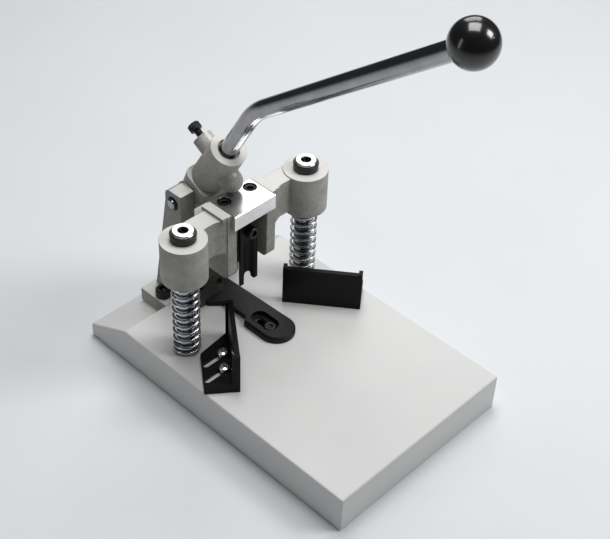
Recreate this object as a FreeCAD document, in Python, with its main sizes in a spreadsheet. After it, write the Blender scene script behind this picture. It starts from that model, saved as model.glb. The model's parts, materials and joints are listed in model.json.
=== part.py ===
"""Lever-operated corner rounder for stacks of paper and board.

Frame: the origin is the middle of the base's underside, +Z is up, -Y is the front where the
paper lies, and +X is to the right. Millimetres. The crosshead is modelled at the top of its
stroke, held there by its two springs, with the lever raised.
"""
import FreeCAD, Part
import collections
import math
import os

import Sketcher

doc = FreeCAD.newDocument("corner_rounder")
sheet = doc.addObject("Spreadsheet::Sheet", "sizes")
next_row = 1


class Size:
    """A length or an angle: the expression that binds it, and what it comes to now."""

    def __init__(self, text, value):
        self.text = text
        self.value = value

    def __add__(self, other):
        other = as_size(other)
        return Size(f"({self.text} + {other.text})", self.value + other.value)

    def __sub__(self, other):
        other = as_size(other)
        return Size(f"({self.text} - {other.text})", self.value - other.value)

    def __mul__(self, other):
        other = as_size(other)
        return Size(f"({self.text} * {other.text})", self.value * other.value)

    def __truediv__(self, other):
        other = as_size(other)
        return Size(f"({self.text} / {other.text})", self.value / other.value)

    def __radd__(self, other):
        return as_size(other) + self

    def __rsub__(self, other):
        return as_size(other) - self

    def __rmul__(self, other):
        return as_size(other) * self

    def __neg__(self):
        return 0 - self


def as_size(number):
    if isinstance(number, Size):
        return number
    return Size(f"({number})", float(number))


def sine(angle):
    return Size(f"sin({angle.text} * 1 deg)", math.sin(math.radians(angle.value)))


def cosine(angle):
    return Size(f"cos({angle.text} * 1 deg)", math.cos(math.radians(angle.value)))


def tangent(angle):
    return Size(f"tan({angle.text} * 1 deg)", math.tan(math.radians(angle.value)))


def driving(alias, number, note):
    """Put one driving dimension into the sheet and return it as a Size."""
    global next_row
    sheet.set(f"A{next_row}", note)
    sheet.set(f"B{next_row}", str(number))
    sheet.setAlias(f"B{next_row}", alias)
    next_row += 1
    return Size(f"sizes.{alias}", float(number))


# Driving dimensions. "Half" is a distance from the middle plane x = 0.

base_width = driving("base_width", 176, "base, left to right")
base_length = driving("base_length", 280, "base, front to back")
base_thick = driving("base_thick", 33, "base, thickness")
slope_run = driving("slope_run", 43, "rear slope, how far it runs in from the rear edge")
slope_edge = driving("slope_edge", 12.5, "rear slope, height left at the rear edge")
seat_half = driving("seat_half", 58, "flat seat milled in the rear slope, half its width")
seat_floor = driving("seat_floor", 20.5, "flat seat, height of its floor")
edge_break = driving("edge_break", 0.8, "broken edges of the base")

post_half = driving("post_half", 63.7, "guide posts, half their spacing")
post_back = driving("post_back", 49.4, "guide posts, distance behind the origin")
post_wide = driving("post_wide", 16, "guide posts, diameter")
post_sunk = driving("post_sunk", 12, "guide posts, depth let into the base")
post_top = driving("post_top", 143, "guide posts, height of their tops")

sleeve_wide = driving("sleeve_wide", 18.6, "guide sleeves, outer diameter")
running_gap = driving("running_gap", 0.03, "radial clearance of sleeves and pivot")
boss_wide = driving("boss_wide", 36, "crosshead bosses, diameter")
boss_high = driving("boss_high", 35.8, "crosshead bosses, height")
rest_gap = driving("rest_gap", 0.2, "clearance between stop faces at rest")

arm_front = driving("arm_front", 48, "crosshead arms, front face")
arm_deep = driving("arm_deep", 16.5, "crosshead arms, front to back")
arm_low = driving("arm_low", 4, "crosshead arms, underside above the bosses' underside")
arm_flare = driving("arm_flare", 9, "crosshead arms, length of the flare at the cheeks")
arm_fillet = driving("arm_fillet", 3.5, "crosshead arms, fillet under them at the cheeks")
flare_round = driving("flare_round", 9, "crosshead arms, rounding where the flare begins")
arm_drop = driving("arm_drop", 0.8, "crosshead arms, top below the bosses' top")

cheek_half = driving("cheek_half", 25, "crosshead cheeks, half the width over them")
cheek_front = driving("cheek_front", 43.5, "crosshead cheeks, front face")
cheek_back = driving("cheek_back", 67.5, "crosshead block, rear face")
cheek_low = driving("cheek_low", 82.8, "crosshead cheeks, underside")
cheek_round = driving("cheek_round", 5, "crosshead cheeks, rounding of their lower front edges")
channel_half = driving("channel_half", 16, "channel between the cheeks, half its width")
flange_half = driving("flange_half", 29.5, "crosshead top flange, half its width")
flange_thick = driving("flange_thick", 3.6, "crosshead top flange, thickness")

plate_half = driving("plate_half", 21.3, "pressure plate, half its width")
plate_front = driving("plate_front", 39.7, "pressure plate, front face")
plate_deep = driving("plate_deep", 28.3, "pressure plate, front to back")
plate_thick = driving("plate_thick", 13, "pressure plate, thickness")
plate_top = driving("plate_top", 144.5, "pressure plate, height of its top face")
plate_screw_half = driving("plate_screw_half", 13.4, "pressure plate screws, half their spacing")
plate_screw_back = driving("plate_screw_back", 60, "pressure plate screws, behind the origin")
plate_well_deep = driving("plate_well_deep", 6.6, "pressure plate, depth of the wells for its screws")

blade_wide = driving("blade_wide", 18.4, "corner blade, width")
blade_front = driving("blade_front", 46.5, "corner blade, front face")
blade_deep = driving("blade_deep", 8, "corner blade, front to back")
blade_side_deep = driving("blade_side_deep", 1.8, "corner blade, depth of its sides")
blade_seat_half = driving("blade_seat_half", 3.6, "corner blade, half the width of its rear face")
blade_low = driving("blade_low", 65.5, "corner blade, height of its cutting tips")
vee_wide = driving("vee_wide", 11, "corner blade, width of its hollow")
vee_radius = driving("vee_radius", 6, "corner blade, radius that it cuts")
arch_high = driving("arch_high", 8, "corner blade, height of the arch between its tips")
arch_half = driving("arch_half", 5.3, "corner blade, half the width of the arch")
hollow_high = driving("hollow_high", 42, "corner blade, height of its hollow")
relief_high = driving("relief_high", 16, "corner blade, height of the bevel behind its edge")
tip_deep = driving("tip_deep", 3.6, "corner blade, depth left at its tips")
blade_screw_high = driving("blade_screw_high", 117, "blade screw, height of its axis")

pivot_back = driving("pivot_back", 99.5, "lever pivot, behind the origin")
pivot_high = driving("pivot_high", 129.5, "lever pivot, height")
pin_wide = driving("pin_wide", 8, "lever pivot pin, diameter")
pin_proud = driving("pin_proud", 2.6, "lever pivot pin, how far its ends stand out of the ears")
pin_well_wide = driving("pin_well_wide", 11.6, "wells round the pin's ends, diameter")
pin_well_deep = driving("pin_well_deep", 4, "wells round the pin's ends, depth")

ear_half = driving("ear_half", 30.5, "column ears, half the width over them")
ear_inner = driving("ear_inner", 17, "column ears, half the gap between them")
ear_front = driving("ear_front", 90.3, "column ears, front face")
ear_back = driving("ear_back", 108.3, "column ears, rear face at the top")
ear_top = driving("ear_top", 139.6, "column ears, height of their tops")
fork_low = driving("fork_low", 97, "gap between the ears, height of its floor")
guide_front = driving("guide_front", 75.8, "guide block in front of the column, front face")
guide_high = driving("guide_high", 64, "guide block, height of its top")
guide_bevel = driving("guide_bevel", 4, "guide block, bevel of its top front edge")
guide_right = driving("guide_right", -0.6, "guide block, right side, which guides the anvil bar")
guide_well_deep = driving("guide_well_deep", 4.4, "guide block, depth of the wells for its screws")
guide_screw_near = driving("guide_screw_near", -5.7, "guide block, right screw, from the middle")
guide_near_high = driving("guide_near_high", 49.6, "guide block, right screw, height")
guide_screw_far = driving("guide_screw_far", -24, "guide block, left screw, from the middle")
guide_far_high = driving("guide_far_high", 55.5, "guide block, left screw, height")
guide_screws = ((guide_screw_near, guide_near_high), (guide_screw_far, guide_far_high))
foot_half = driving("foot_half", 44.5, "column foot, half its width")
foot_back = driving("foot_back", 128, "column foot, rear face")
foot_screw_half = driving("foot_screw_half", 37, "column foot screws, half their spacing")
foot_screw_back = driving("foot_screw_back", 108.6, "column foot screws, behind the origin")

lever_lean = driving("lever_lean", 30.5, "lever socket, lean forward from upright")
barrel_wide = driving("barrel_wide", 24, "lever hub, diameter around the pivot")
hub_washer_wide = driving("hub_washer_wide", 23, "washers beside the lever hub, diameter")
hub_half = driving("hub_half", 15.85, "lever hub, half its width")
tube_wide = driving("tube_wide", 29, "lever hub, diameter of the socket tube")
neck_high = driving("neck_high", 17, "lever hub, height where the flat neck meets the round tube")
neck_round = driving("neck_round", 7, "lever hub, rounding of the neck's corners")
tube_long = driving("tube_long", 60.5, "lever hub, pivot to socket face")
socket_deep = driving("socket_deep", 36, "lever hub, depth of the socket")
mouth_wide = driving("mouth_wide", 17.4, "lever hub, diameter of the socket's wider mouth")
mouth_deep = driving("mouth_deep", 5, "lever hub, depth of the socket's wider mouth")
lug_wide = driving("lug_wide", 16, "clamp screw lug, diameter")
lug_reach = driving("lug_reach", 23.5, "clamp screw lug, socket axis to its face")
lug_down = driving("lug_down", 18.7, "clamp screw axis, below the socket face")
nose_round = driving("nose_round", 9.2, "press nose, radius of its ball end")
nose_reach = driving("nose_reach", 33, "press nose, middle of its ball end, forward of the pivot")

rod_wide = driving("rod_wide", 14, "handle rod, diameter")
bend_up = driving("bend_up", 115, "handle rod, pivot to the corner of its bend")
bend_turn = driving("bend_turn", 22.6, "handle rod, angle of its bend")
bend_round = driving("bend_round", 60, "handle rod, radius of its bend")
knob_out = driving("knob_out", 222.4, "handle rod, corner of the bend to the knob's middle")
knob_wide = driving("knob_wide", 32, "ball knob, diameter")
knob_neck = driving("knob_neck", 14.2, "ball knob, middle to its flat")
stud_wide = driving("stud_wide", 10, "handle rod, diameter of its threaded end")

anvil_half = driving("anvil_half", 15, "anvil bar, half its width")
anvil_thick = driving("anvil_thick", 5.5, "anvil bar, thickness")
anvil_round_back = driving("anvil_round_back", 14.5, "anvil bar, middle of its round front end")
anvil_notch_back = driving("anvil_notch_back", 38, "anvil bar, where its left side steps in")
anvil_tail_half = driving("anvil_tail_half", 9, "anvil bar, half its width behind the step")
anvil_back = driving("anvil_back", 88, "anvil bar, rear end")
wing_half = driving("wing_half", 20.4, "anvil bar, reach of its left wing")
wing_back = driving("wing_back", 75.6, "anvil bar, rear edge of its wing")
anvil_gap = driving("anvil_gap", 0.4, "anvil bar, clearance beside the guide block")
anvil_slot_off = driving("anvil_slot_off", -2.4, "anvil bar slot, from the middle")
anvil_slot_front = driving("anvil_slot_front", 19.6, "anvil bar slot, middle of its front end")
anvil_slot_long = driving("anvil_slot_long", 11.5, "anvil bar slot, between the middles of its ends")
pit_deep = driving("pit_deep", 8, "pit in the base behind the anvil screw, depth")
anvil_slot_wide = driving("anvil_slot_wide", 14.4, "anvil bar slot, width of its sunk rim")
anvil_slot_deep = driving("anvil_slot_deep", 4, "anvil bar slot, depth of its sunk rim")
anvil_rim = driving("anvil_rim", 1.8, "anvil bar, bevel round its front end")

fence_angle = driving("fence_angle", 38, "fences, angle from the machine's length")
fence_mid_half = driving("fence_mid_half", 47.15, "fences, half the gap between their middles")
fence_mid_back = driving("fence_mid_back", 10.8, "fences, middle of their faces, behind the origin")
fence_long = driving("fence_long", 64, "fences, length of their faces")
fence_thick = driving("fence_thick", 4, "fences, thickness of the wall")
fence_high = driving("fence_high", 35.5, "fences, height of the wall")
flat_wide = driving("flat_wide", 27.4, "fence feet, width")
flat_long = driving("flat_long", 40.5, "fence feet, length of their outer edge")
flat_thick = driving("flat_thick", 3.4, "fence feet, thickness")
fence_slot_long = driving("fence_slot_long", 18, "fence slots, between the middles of their ends")
fence_slot_wide = driving("fence_slot_wide", 5.4, "fence slots, width")
fence_head_wide = driving("fence_head_wide", 9.4, "fence screws, diameter of their heads")
fence_head_high = driving("fence_head_high", 3.2, "fence screws, height of their heads")
fence_screw_in = driving("fence_screw_in", 9.8, "fence screws, behind the fence's face")
fence_screw_near = driving("fence_screw_near", 22.6, "fence screws, first one, from the near end")
fence_screw_far = driving("fence_screw_far", 39.2, "fence screws, second one, from the near end")

coil_wide = driving("coil_wide", 22, "springs, outer diameter")
wire_wide = driving("wire_wide", 2.2, "springs, wire diameter")
coil_pitch = driving("coil_pitch", 8.4, "springs, pitch of the working coils")

rib_thick = driving("rib_thick", 3.2, "fences, thickness of the rib and the end beads")
rib_high = driving("rib_high", 5, "fences, height of the rib above the foot")

buffer_thick = driving("buffer_thick", 4.2, "rubber buffers on the posts, thickness")
keeper_thick = driving("keeper_thick", 1.8, "keeper washers on the buffers, thickness")
washer_wide = driving("washer_wide", 20.4, "keeper washers, diameter")
washer_play = driving("washer_play", 0.2, "washers and buffers, play round their screws")
well_deep = driving("well_deep", 10, "wells for the screws in the base's underside, depth")
under_screw_half = driving("under_screw_half", 20, "column screws from below, half their spacing")
under_screw_back = driving("under_screw_back", 101, "column screws from below, behind the origin")
insert_wide = driving("insert_wide", 14, "threaded insert of the knob, diameter")

boss_low = post_top - rest_gap - boss_high

# Socket head screws, in millimetres. "Hole" is the clearance hole for the shank and "well"
# the hole that sinks the head.

Screw = collections.namedtuple("Screw", "shank head head_high socket socket_deep hole well")
M4 = Screw(4, 7, 4, 3, 2, 4.5, 7.6)
M6 = Screw(6, 10, 6, 5, 3, 6.6, 11)
M6_LOW = Screw(6, 10, 2.2, 4, 1.4, 6.6, 11)
M8 = Screw(8, 13, 8, 6, 4, 9, 15)
M8_CAP = Screw(8, 17.6, 2.2, 6.4, 4.4, 9, 18)
GRUB = Screw(5, 5, 0, 2.5, 2, 5, 5)
FENCE_THREAD = 5

# How deep the tapped holes are.

foot_tap_deep = 14.5
small_tap_deep = 14
guide_tap_deep = 6.5
under_tap_deep = 30
post_tap_low = 17
post_tap_high = 19

doc.recompute()


# What every sub-part below is made with.

def new_body(label, x=0, y=0, z=0, lean=None):
    """A body with its own placement; lean turns it about X."""
    piece = doc.addObject("PartDesign::Body", label)
    piece.Label = label
    place(piece, x, y, z, lean)
    return piece


def place(piece, x=0, y=0, z=0, lean=None):
    x, y, z = as_size(x), as_size(y), as_size(z)
    turn = FreeCAD.Rotation()
    if lean is not None:
        turn = FreeCAD.Rotation(FreeCAD.Vector(1, 0, 0), lean.value)
    piece.Placement = FreeCAD.Placement(FreeCAD.Vector(x.value, y.value, z.value), turn)
    piece.setExpression("Placement.Base.x", x.text)
    piece.setExpression("Placement.Base.y", y.text)
    piece.setExpression("Placement.Base.z", z.text)
    if lean is not None:
        piece.setExpression("Placement.Rotation.Angle", f"{lean.text} * 1 deg")


def new_sketch(piece, plane, out=0):
    """A sketch on one of the body's own planes, moved out along the plane's normal."""
    out = as_size(out)
    sketch = piece.newObject("Sketcher::SketchObject", f"{piece.Name}_outline")
    origin_plane = [item for item in piece.Origin.OriginFeatures if item.Role == plane][0]
    sketch.AttachmentSupport = (origin_plane, [""])
    sketch.MapMode = "FlatFace"
    sketch.AttachmentOffset = FreeCAD.Placement(FreeCAD.Vector(0, 0, out.value), FreeCAD.Rotation())
    sketch.setExpression("AttachmentOffset.Base.z", out.text)
    return sketch


def bind(sketch, constraint, size):
    index = sketch.addConstraint(constraint)
    sketch.setExpression(f"Constraints[{index}]", size.text)


def pin_point(sketch, item, end, x, y):
    """Hold one point of a sketch at x, y from the sketch's origin."""
    bind(sketch, Sketcher.Constraint("DistanceX", -1, 1, item, end, x.value), x)
    bind(sketch, Sketcher.Constraint("DistanceY", -1, 1, item, end, y.value), y)


def polygon(sketch, points):
    """A closed outline of straight sides."""
    points = [(as_size(x), as_size(y)) for x, y in points]
    corners = [FreeCAD.Vector(x.value, y.value, 0) for x, y in points]
    first = sketch.GeometryCount
    count = len(corners)
    for index in range(count):
        side = Part.LineSegment(corners[index], corners[(index + 1) % count])
        sketch.addGeometry(side, False)
    for index in range(count):
        after = first + (index + 1) % count
        sketch.addConstraint(Sketcher.Constraint("Coincident", first + index, 2, after, 1))
    for index, (x, y) in enumerate(points):
        pin_point(sketch, first + index, 1, x, y)


def rectangle(sketch, x_low, x_high, y_low, y_high):
    polygon(sketch, [(x_low, y_low), (x_high, y_low), (x_high, y_high), (x_low, y_high)])


def circle(sketch, x, y, wide):
    x, y, wide = as_size(x), as_size(y), as_size(wide)
    middle = FreeCAD.Vector(x.value, y.value, 0)
    item = sketch.addGeometry(Part.Circle(middle, FreeCAD.Vector(0, 0, 1), wide.value / 2), False)
    pin_point(sketch, item, 3, x, y)
    bind(sketch, Sketcher.Constraint("Diameter", item, wide.value), wide)


def hexagon(sketch, x, y, across):
    """A socket's six sides, across measured from flat to flat."""
    x, y = as_size(x), as_size(y)
    corner = as_size(across) / 2 / math.cos(math.radians(30))
    sides = range(6)
    polygon(sketch, [(x + corner * math.cos(math.radians(60 * side)),
                      y + corner * math.sin(math.radians(60 * side))) for side in sides])


def half_disc(sketch, height, radius):
    """The right half of a disc whose middle is on the sketch's vertical axis."""
    up = FreeCAD.Vector(0, 0, 1)
    middle = FreeCAD.Vector(0, height.value, 0)
    arc = Part.ArcOfCircle(Part.Circle(middle, up, radius.value), -math.pi / 2, math.pi / 2)
    low = FreeCAD.Vector(0, (height - radius).value, 0)
    high = FreeCAD.Vector(0, (height + radius).value, 0)
    first = sketch.addGeometry(arc, False)
    sketch.addGeometry(Part.LineSegment(high, low), False)
    sketch.addConstraint(Sketcher.Constraint("Coincident", first, 2, first + 1, 1))
    sketch.addConstraint(Sketcher.Constraint("Coincident", first + 1, 2, first, 1))
    sketch.addConstraint(Sketcher.Constraint("PointOnObject", first, 3, -2))
    sketch.addConstraint(Sketcher.Constraint("Vertical", first + 1))
    bind(sketch, Sketcher.Constraint("Radius", first, radius.value), radius)
    bind(sketch, Sketcher.Constraint("DistanceY", -1, 1, first, 3, height.value), height)


def long_slot(sketch, x_low, x_high, y, wide):
    """A round-ended slot along the sketch's X, between the middles of its ends."""
    x_low, x_high, y = as_size(x_low), as_size(x_high), as_size(y)
    radius = as_size(wide) / 2
    up = FreeCAD.Vector(0, 0, 1)
    low = FreeCAD.Vector(x_low.value, y.value, 0)
    high = FreeCAD.Vector(x_high.value, y.value, 0)
    side = FreeCAD.Vector(0, radius.value, 0)
    quarter = math.pi / 2
    left = Part.ArcOfCircle(Part.Circle(low, up, radius.value), quarter, 3 * quarter)
    right = Part.ArcOfCircle(Part.Circle(high, up, radius.value), 3 * quarter, 5 * quarter)
    first = sketch.GeometryCount
    sketch.addGeometry(left, False)
    sketch.addGeometry(Part.LineSegment(low - side, high - side), False)
    sketch.addGeometry(right, False)
    sketch.addGeometry(Part.LineSegment(high + side, low + side), False)
    for index in range(4):
        after = first + (index + 1) % 4
        sketch.addConstraint(Sketcher.Constraint("Tangent", first + index, 2, after, 1))
    pin_point(sketch, first, 3, x_low, y)
    pin_point(sketch, first + 2, 3, x_high, y)
    bind(sketch, Sketcher.Constraint("Radius", first, radius.value), radius)


def upright_slot(sketch, x, y_low, y_high, wide):
    """A round-ended slot along the sketch's Y, between the middles of its ends."""
    radius = as_size(wide) / 2
    up = FreeCAD.Vector(0, 0, 1)
    low = FreeCAD.Vector(x.value, y_low.value, 0)
    high = FreeCAD.Vector(x.value, y_high.value, 0)
    side = FreeCAD.Vector(radius.value, 0, 0)
    first = sketch.GeometryCount
    sketch.addGeometry(Part.ArcOfCircle(Part.Circle(high, up, radius.value), 0, math.pi), False)
    sketch.addGeometry(Part.LineSegment(high - side, low - side), False)
    sketch.addGeometry(Part.ArcOfCircle(Part.Circle(low, up, radius.value), math.pi, 2 * math.pi), False)
    sketch.addGeometry(Part.LineSegment(low + side, high + side), False)
    for index in range(4):
        after = first + (index + 1) % 4
        sketch.addConstraint(Sketcher.Constraint("Tangent", first + index, 2, after, 1))
    pin_point(sketch, first, 3, x, y_high)
    pin_point(sketch, first + 2, 3, x, y_low)
    bind(sketch, Sketcher.Constraint("Radius", first, radius.value), radius)


def extrude(piece, kind, sketch, length, both_ways, reverse, taper=0):
    length = as_size(length)
    feature = piece.newObject(f"PartDesign::{kind}", f"{piece.Name}_{kind.lower()}")
    feature.Profile = sketch
    feature.Length = length.value
    feature.setExpression("Length", length.text)
    feature.SideType = "Symmetric" if both_ways else "One side"
    feature.Reversed = reverse
    feature.TaperAngle = taper
    doc.recompute()
    return feature


def pad(piece, sketch, length, both_ways=False, reverse=False, taper=0):
    return extrude(piece, "Pad", sketch, length, both_ways, reverse, taper)


def pocket(piece, sketch, length, both_ways=False, reverse=False):
    """Cut, and stop if the cut missed the solid."""
    before = piece.Shape.Volume
    feature = extrude(piece, "Pocket", sketch, length, both_ways, reverse)
    if not piece.Shape.Volume < before - 0.01:
        raise RuntimeError(f"{feature.Name} removes nothing")
    return feature


def turned(piece, sketch, axis="V_Axis"):
    """Revolve a sketch's outline about one of its own axes."""
    feature = piece.newObject("PartDesign::Revolution", f"{piece.Name}_turned")
    feature.Profile = sketch
    feature.ReferenceAxis = (sketch, [axis])
    feature.Angle = 360
    doc.recompute()
    return feature


def dress(piece, kind, size, wanted):
    """Fillet or chamfer the edges of the body's last shape that wanted() picks."""
    size = as_size(size)
    base = piece.Tip
    names = [f"Edge{number + 1}" for number, edge in enumerate(base.Shape.Edges) if wanted(edge)]
    if not names:
        raise RuntimeError(f"no edges to {kind} on {piece.Label}")
    feature = piece.newObject(f"PartDesign::{kind}", f"{piece.Name}_{kind.lower()}")
    feature.Base = (base, names)
    slot = "Radius" if kind == "Fillet" else "Size"
    setattr(feature, slot, size.value)
    feature.setExpression(slot, size.text)
    doc.recompute()
    return feature


def middle_of(edge):
    return edge.valueAt((edge.FirstParameter + edge.LastParameter) / 2)


def near(value, size, slack=0.05):
    return abs(value - as_size(size).value) < slack


def runs_along(edge, axis):
    """Whether a straight edge runs along axis 0, 1 or 2."""
    if not isinstance(edge.Curve, Part.Line):
        return False
    return abs(abs(edge.tangentAt(edge.FirstParameter)[axis]) - 1) < 1e-6


def grouped(label, pieces):
    """One node that holds several identical pieces as separate solids."""
    group = doc.addObject("Part::Compound", label)
    group.Label = label
    group.Links = pieces
    doc.recompute()
    return group


def cap_screw(label, size, length, upside_down=False):
    """A socket head screw, its head standing on z = 0 and its shank below."""
    piece = new_body(label)
    direction = -1 if upside_down else 1
    profile = new_sketch(piece, "XZ_Plane")
    shank_half = as_size(size.shank) / 2
    head_half = as_size(size.head) / 2
    top = as_size(size.head_high) * direction
    tip = as_size(length) * -direction
    point = as_size(0.8)
    bevel = as_size(0.5)
    polygon(profile, [
        (0, top),
        (head_half - bevel, top),
        (head_half, top - bevel * direction),
        (head_half, 0),
        (shank_half, 0),
        (shank_half, tip + point * direction),
        (shank_half - point, tip),
        (0, tip),
    ])
    turned(piece, profile)
    drive = new_sketch(piece, "XY_Plane", top)
    hexagon(drive, 0, 0, size.socket)
    pocket(piece, drive, size.socket_deep, reverse=upside_down)
    return piece


def pan_screw(label, shank, head, head_high, length):
    """A cross-recessed pan head screw, its head standing on z = 0 and its shank below."""
    piece = new_body(label)
    profile = new_sketch(piece, "XZ_Plane")
    shank_half = as_size(shank) / 2
    head_half = as_size(head) / 2
    high = as_size(head_high)
    polygon(profile, [
        (0, high),
        (head_half * 0.5, high),
        (head_half * 0.85, high * 0.8),
        (head_half, high * 0.42),
        (head_half, 0),
        (shank_half, 0),
        (shank_half, 0.6 - length),
        (shank_half - 0.6, -length),
        (0, -length),
    ])
    turned(piece, profile)
    drive = new_sketch(piece, "XY_Plane", high)
    arm = head_half * 0.52
    thin = head_half * 0.14
    polygon(drive, [
        (arm, -thin), (arm, thin), (thin, thin), (thin, arm), (-thin, arm), (-thin, thin),
        (-arm, thin), (-arm, -thin), (-thin, -thin), (-thin, -arm), (thin, -arm), (thin, -thin),
    ])
    pocket(piece, drive, high * 0.55)
    return piece


def washer(label, outer, inner, thick):
    """A flat ring standing on z = 0."""
    piece = new_body(label)
    ring = new_sketch(piece, "XY_Plane")
    circle(ring, 0, 0, outer)
    circle(ring, 0, 0, inner)
    pad(piece, ring, thick)
    return piece


# Base

def make_base_plate():
    piece = new_body("base_plate")
    profile = new_sketch(piece, "YZ_Plane")
    polygon(profile, [
        (-base_length / 2, 0),
        (base_length / 2, 0),
        (base_length / 2, slope_edge),
        (base_length / 2 - slope_run, base_thick),
        (-base_length / 2, base_thick),
    ])
    pad(piece, profile, base_width, both_ways=True)
    seat = new_sketch(piece, "XY_Plane", base_thick)
    ridge = base_length / 2 - slope_run
    rectangle(seat, -seat_half, seat_half, ridge, base_length / 2 + 1)
    pocket(piece, seat, base_thick - seat_floor)
    half = base_width.value / 2
    front = -base_length.value / 2

    def outer_edge(edge):
        point = middle_of(edge)
        on_side = near(abs(point.x), half) and not near(point.y, -front)
        return on_side or near(point.y, front)

    dress(piece, "Chamfer", edge_break, outer_edge)
    holes = new_sketch(piece, "XY_Plane", base_thick)
    for side in (-1, 1):
        circle(holes, post_half * side, post_back, post_wide)
    pocket(piece, holes, post_sunk)
    shafts = new_sketch(piece, "XY_Plane")
    wells = new_sketch(piece, "XY_Plane")
    for side in (-1, 1):
        for across, back in ((post_half, post_back), (under_screw_half, under_screw_back)):
            circle(shafts, across * side, back, M8.hole)
            circle(wells, across * side, back, M8.well)
    pocket(piece, shafts, base_thick + 1, reverse=True)
    pocket(piece, wells, well_deep, reverse=True)
    foot_taps = new_sketch(piece, "XY_Plane", seat_floor)
    for side in (-1, 1):
        circle(foot_taps, foot_screw_half * side, foot_screw_back, M8.shank)
    pocket(piece, foot_taps, foot_tap_deep)
    small_taps = new_sketch(piece, "XY_Plane", base_thick)
    circle(small_taps, anvil_slot_off, anvil_slot_front, M6.shank)
    for side in (-1, 1):
        for along in (fence_screw_near, fence_screw_far):
            x, y = fence_point(along, fence_screw_in)
            circle(small_taps, x * side, y, FENCE_THREAD)
    pocket(piece, small_taps, small_tap_deep)
    pit = new_sketch(piece, "XY_Plane", base_thick)
    pit_front = anvil_slot_front + M6.head / 2 + 1
    upright_slot(pit, anvil_slot_off, pit_front, anvil_slot_front + anvil_slot_long, M6.hole)
    pocket(piece, pit, pit_deep)
    return piece


# Guide posts, what holds them, and the springs on them

def make_guide_post(name, side):
    piece = new_body(f"guide_post_{name}", post_half * side, post_back, base_thick - post_sunk)
    outline = new_sketch(piece, "XY_Plane")
    long = post_top - base_thick + post_sunk
    circle(outline, 0, 0, post_wide)
    pad(piece, outline, long)
    for height, depth, away in ((as_size(0), post_tap_low, True), (long, post_tap_high, False)):
        tap = new_sketch(piece, "XY_Plane", height)
        circle(tap, 0, 0, M8.shank)
        pocket(piece, tap, depth, reverse=away)
    dress(piece, "Chamfer", 1, lambda edge: near(edge.Length, math.pi * post_wide.value))
    return piece


def make_post_fixing_screws():
    screws = []
    for side in (-1, 1):
        screw = cap_screw("post_fixing_screw", M8, 26, upside_down=True)
        place(screw, post_half * side, post_back, well_deep)
        screws.append(screw)
    return grouped("post_fixing_screws", screws)


def make_buffer_washer(name, side):
    wide = washer_wide - 0.8
    piece = washer(f"buffer_washer_{name}", wide, M8.shank + washer_play, buffer_thick)
    place(piece, post_half * side, post_back, post_top)
    dress(piece, "Fillet", 0.4, lambda edge: near(edge.Length, math.pi * wide.value))
    return piece


def make_keeper_washer(name, side):
    piece = washer(f"keeper_washer_{name}", washer_wide, M8.shank + washer_play, keeper_thick)
    place(piece, post_half * side, post_back, post_top + buffer_thick)
    dress(piece, "Fillet", 0.5, lambda edge: near(edge.Length, math.pi * washer_wide.value))
    return piece


def make_post_cap_screw(name, side):
    piece = cap_screw(f"post_cap_screw_{name}", M8_CAP, 22)
    place(piece, post_half * side, post_back, post_top + buffer_thick + keeper_thick)
    return piece


def make_spring(name, side):
    """Working coils of one pitch, with a closed ring of the same wire at each end."""
    piece = new_body(f"spring_{name}", post_half * side, post_back, base_thick)
    long = boss_low - base_thick - 0.1
    radius = (coil_wide - wire_wide) / 2
    section = new_sketch(piece, "XZ_Plane")
    circle(section, radius, wire_wide / 2, wire_wide)
    coil = piece.newObject("PartDesign::AdditiveHelix", f"{piece.Name}_coil")
    coil.Profile = section
    coil.ReferenceAxis = (section, ["V_Axis"])
    coil.Mode = "pitch-height-angle"
    coil.Pitch = coil_pitch.value
    coil.setExpression("Pitch", coil_pitch.text)
    height = long - wire_wide
    coil.Height = height.value
    coil.setExpression("Height", height.text)
    doc.recompute()
    for middle in (wire_wide / 2, long - wire_wide / 2):
        ring = new_sketch(piece, "XZ_Plane")
        circle(ring, radius - 0.15, middle, wire_wide)
        turned(piece, ring)
    return piece


# Column, lever pivot and lever

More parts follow.
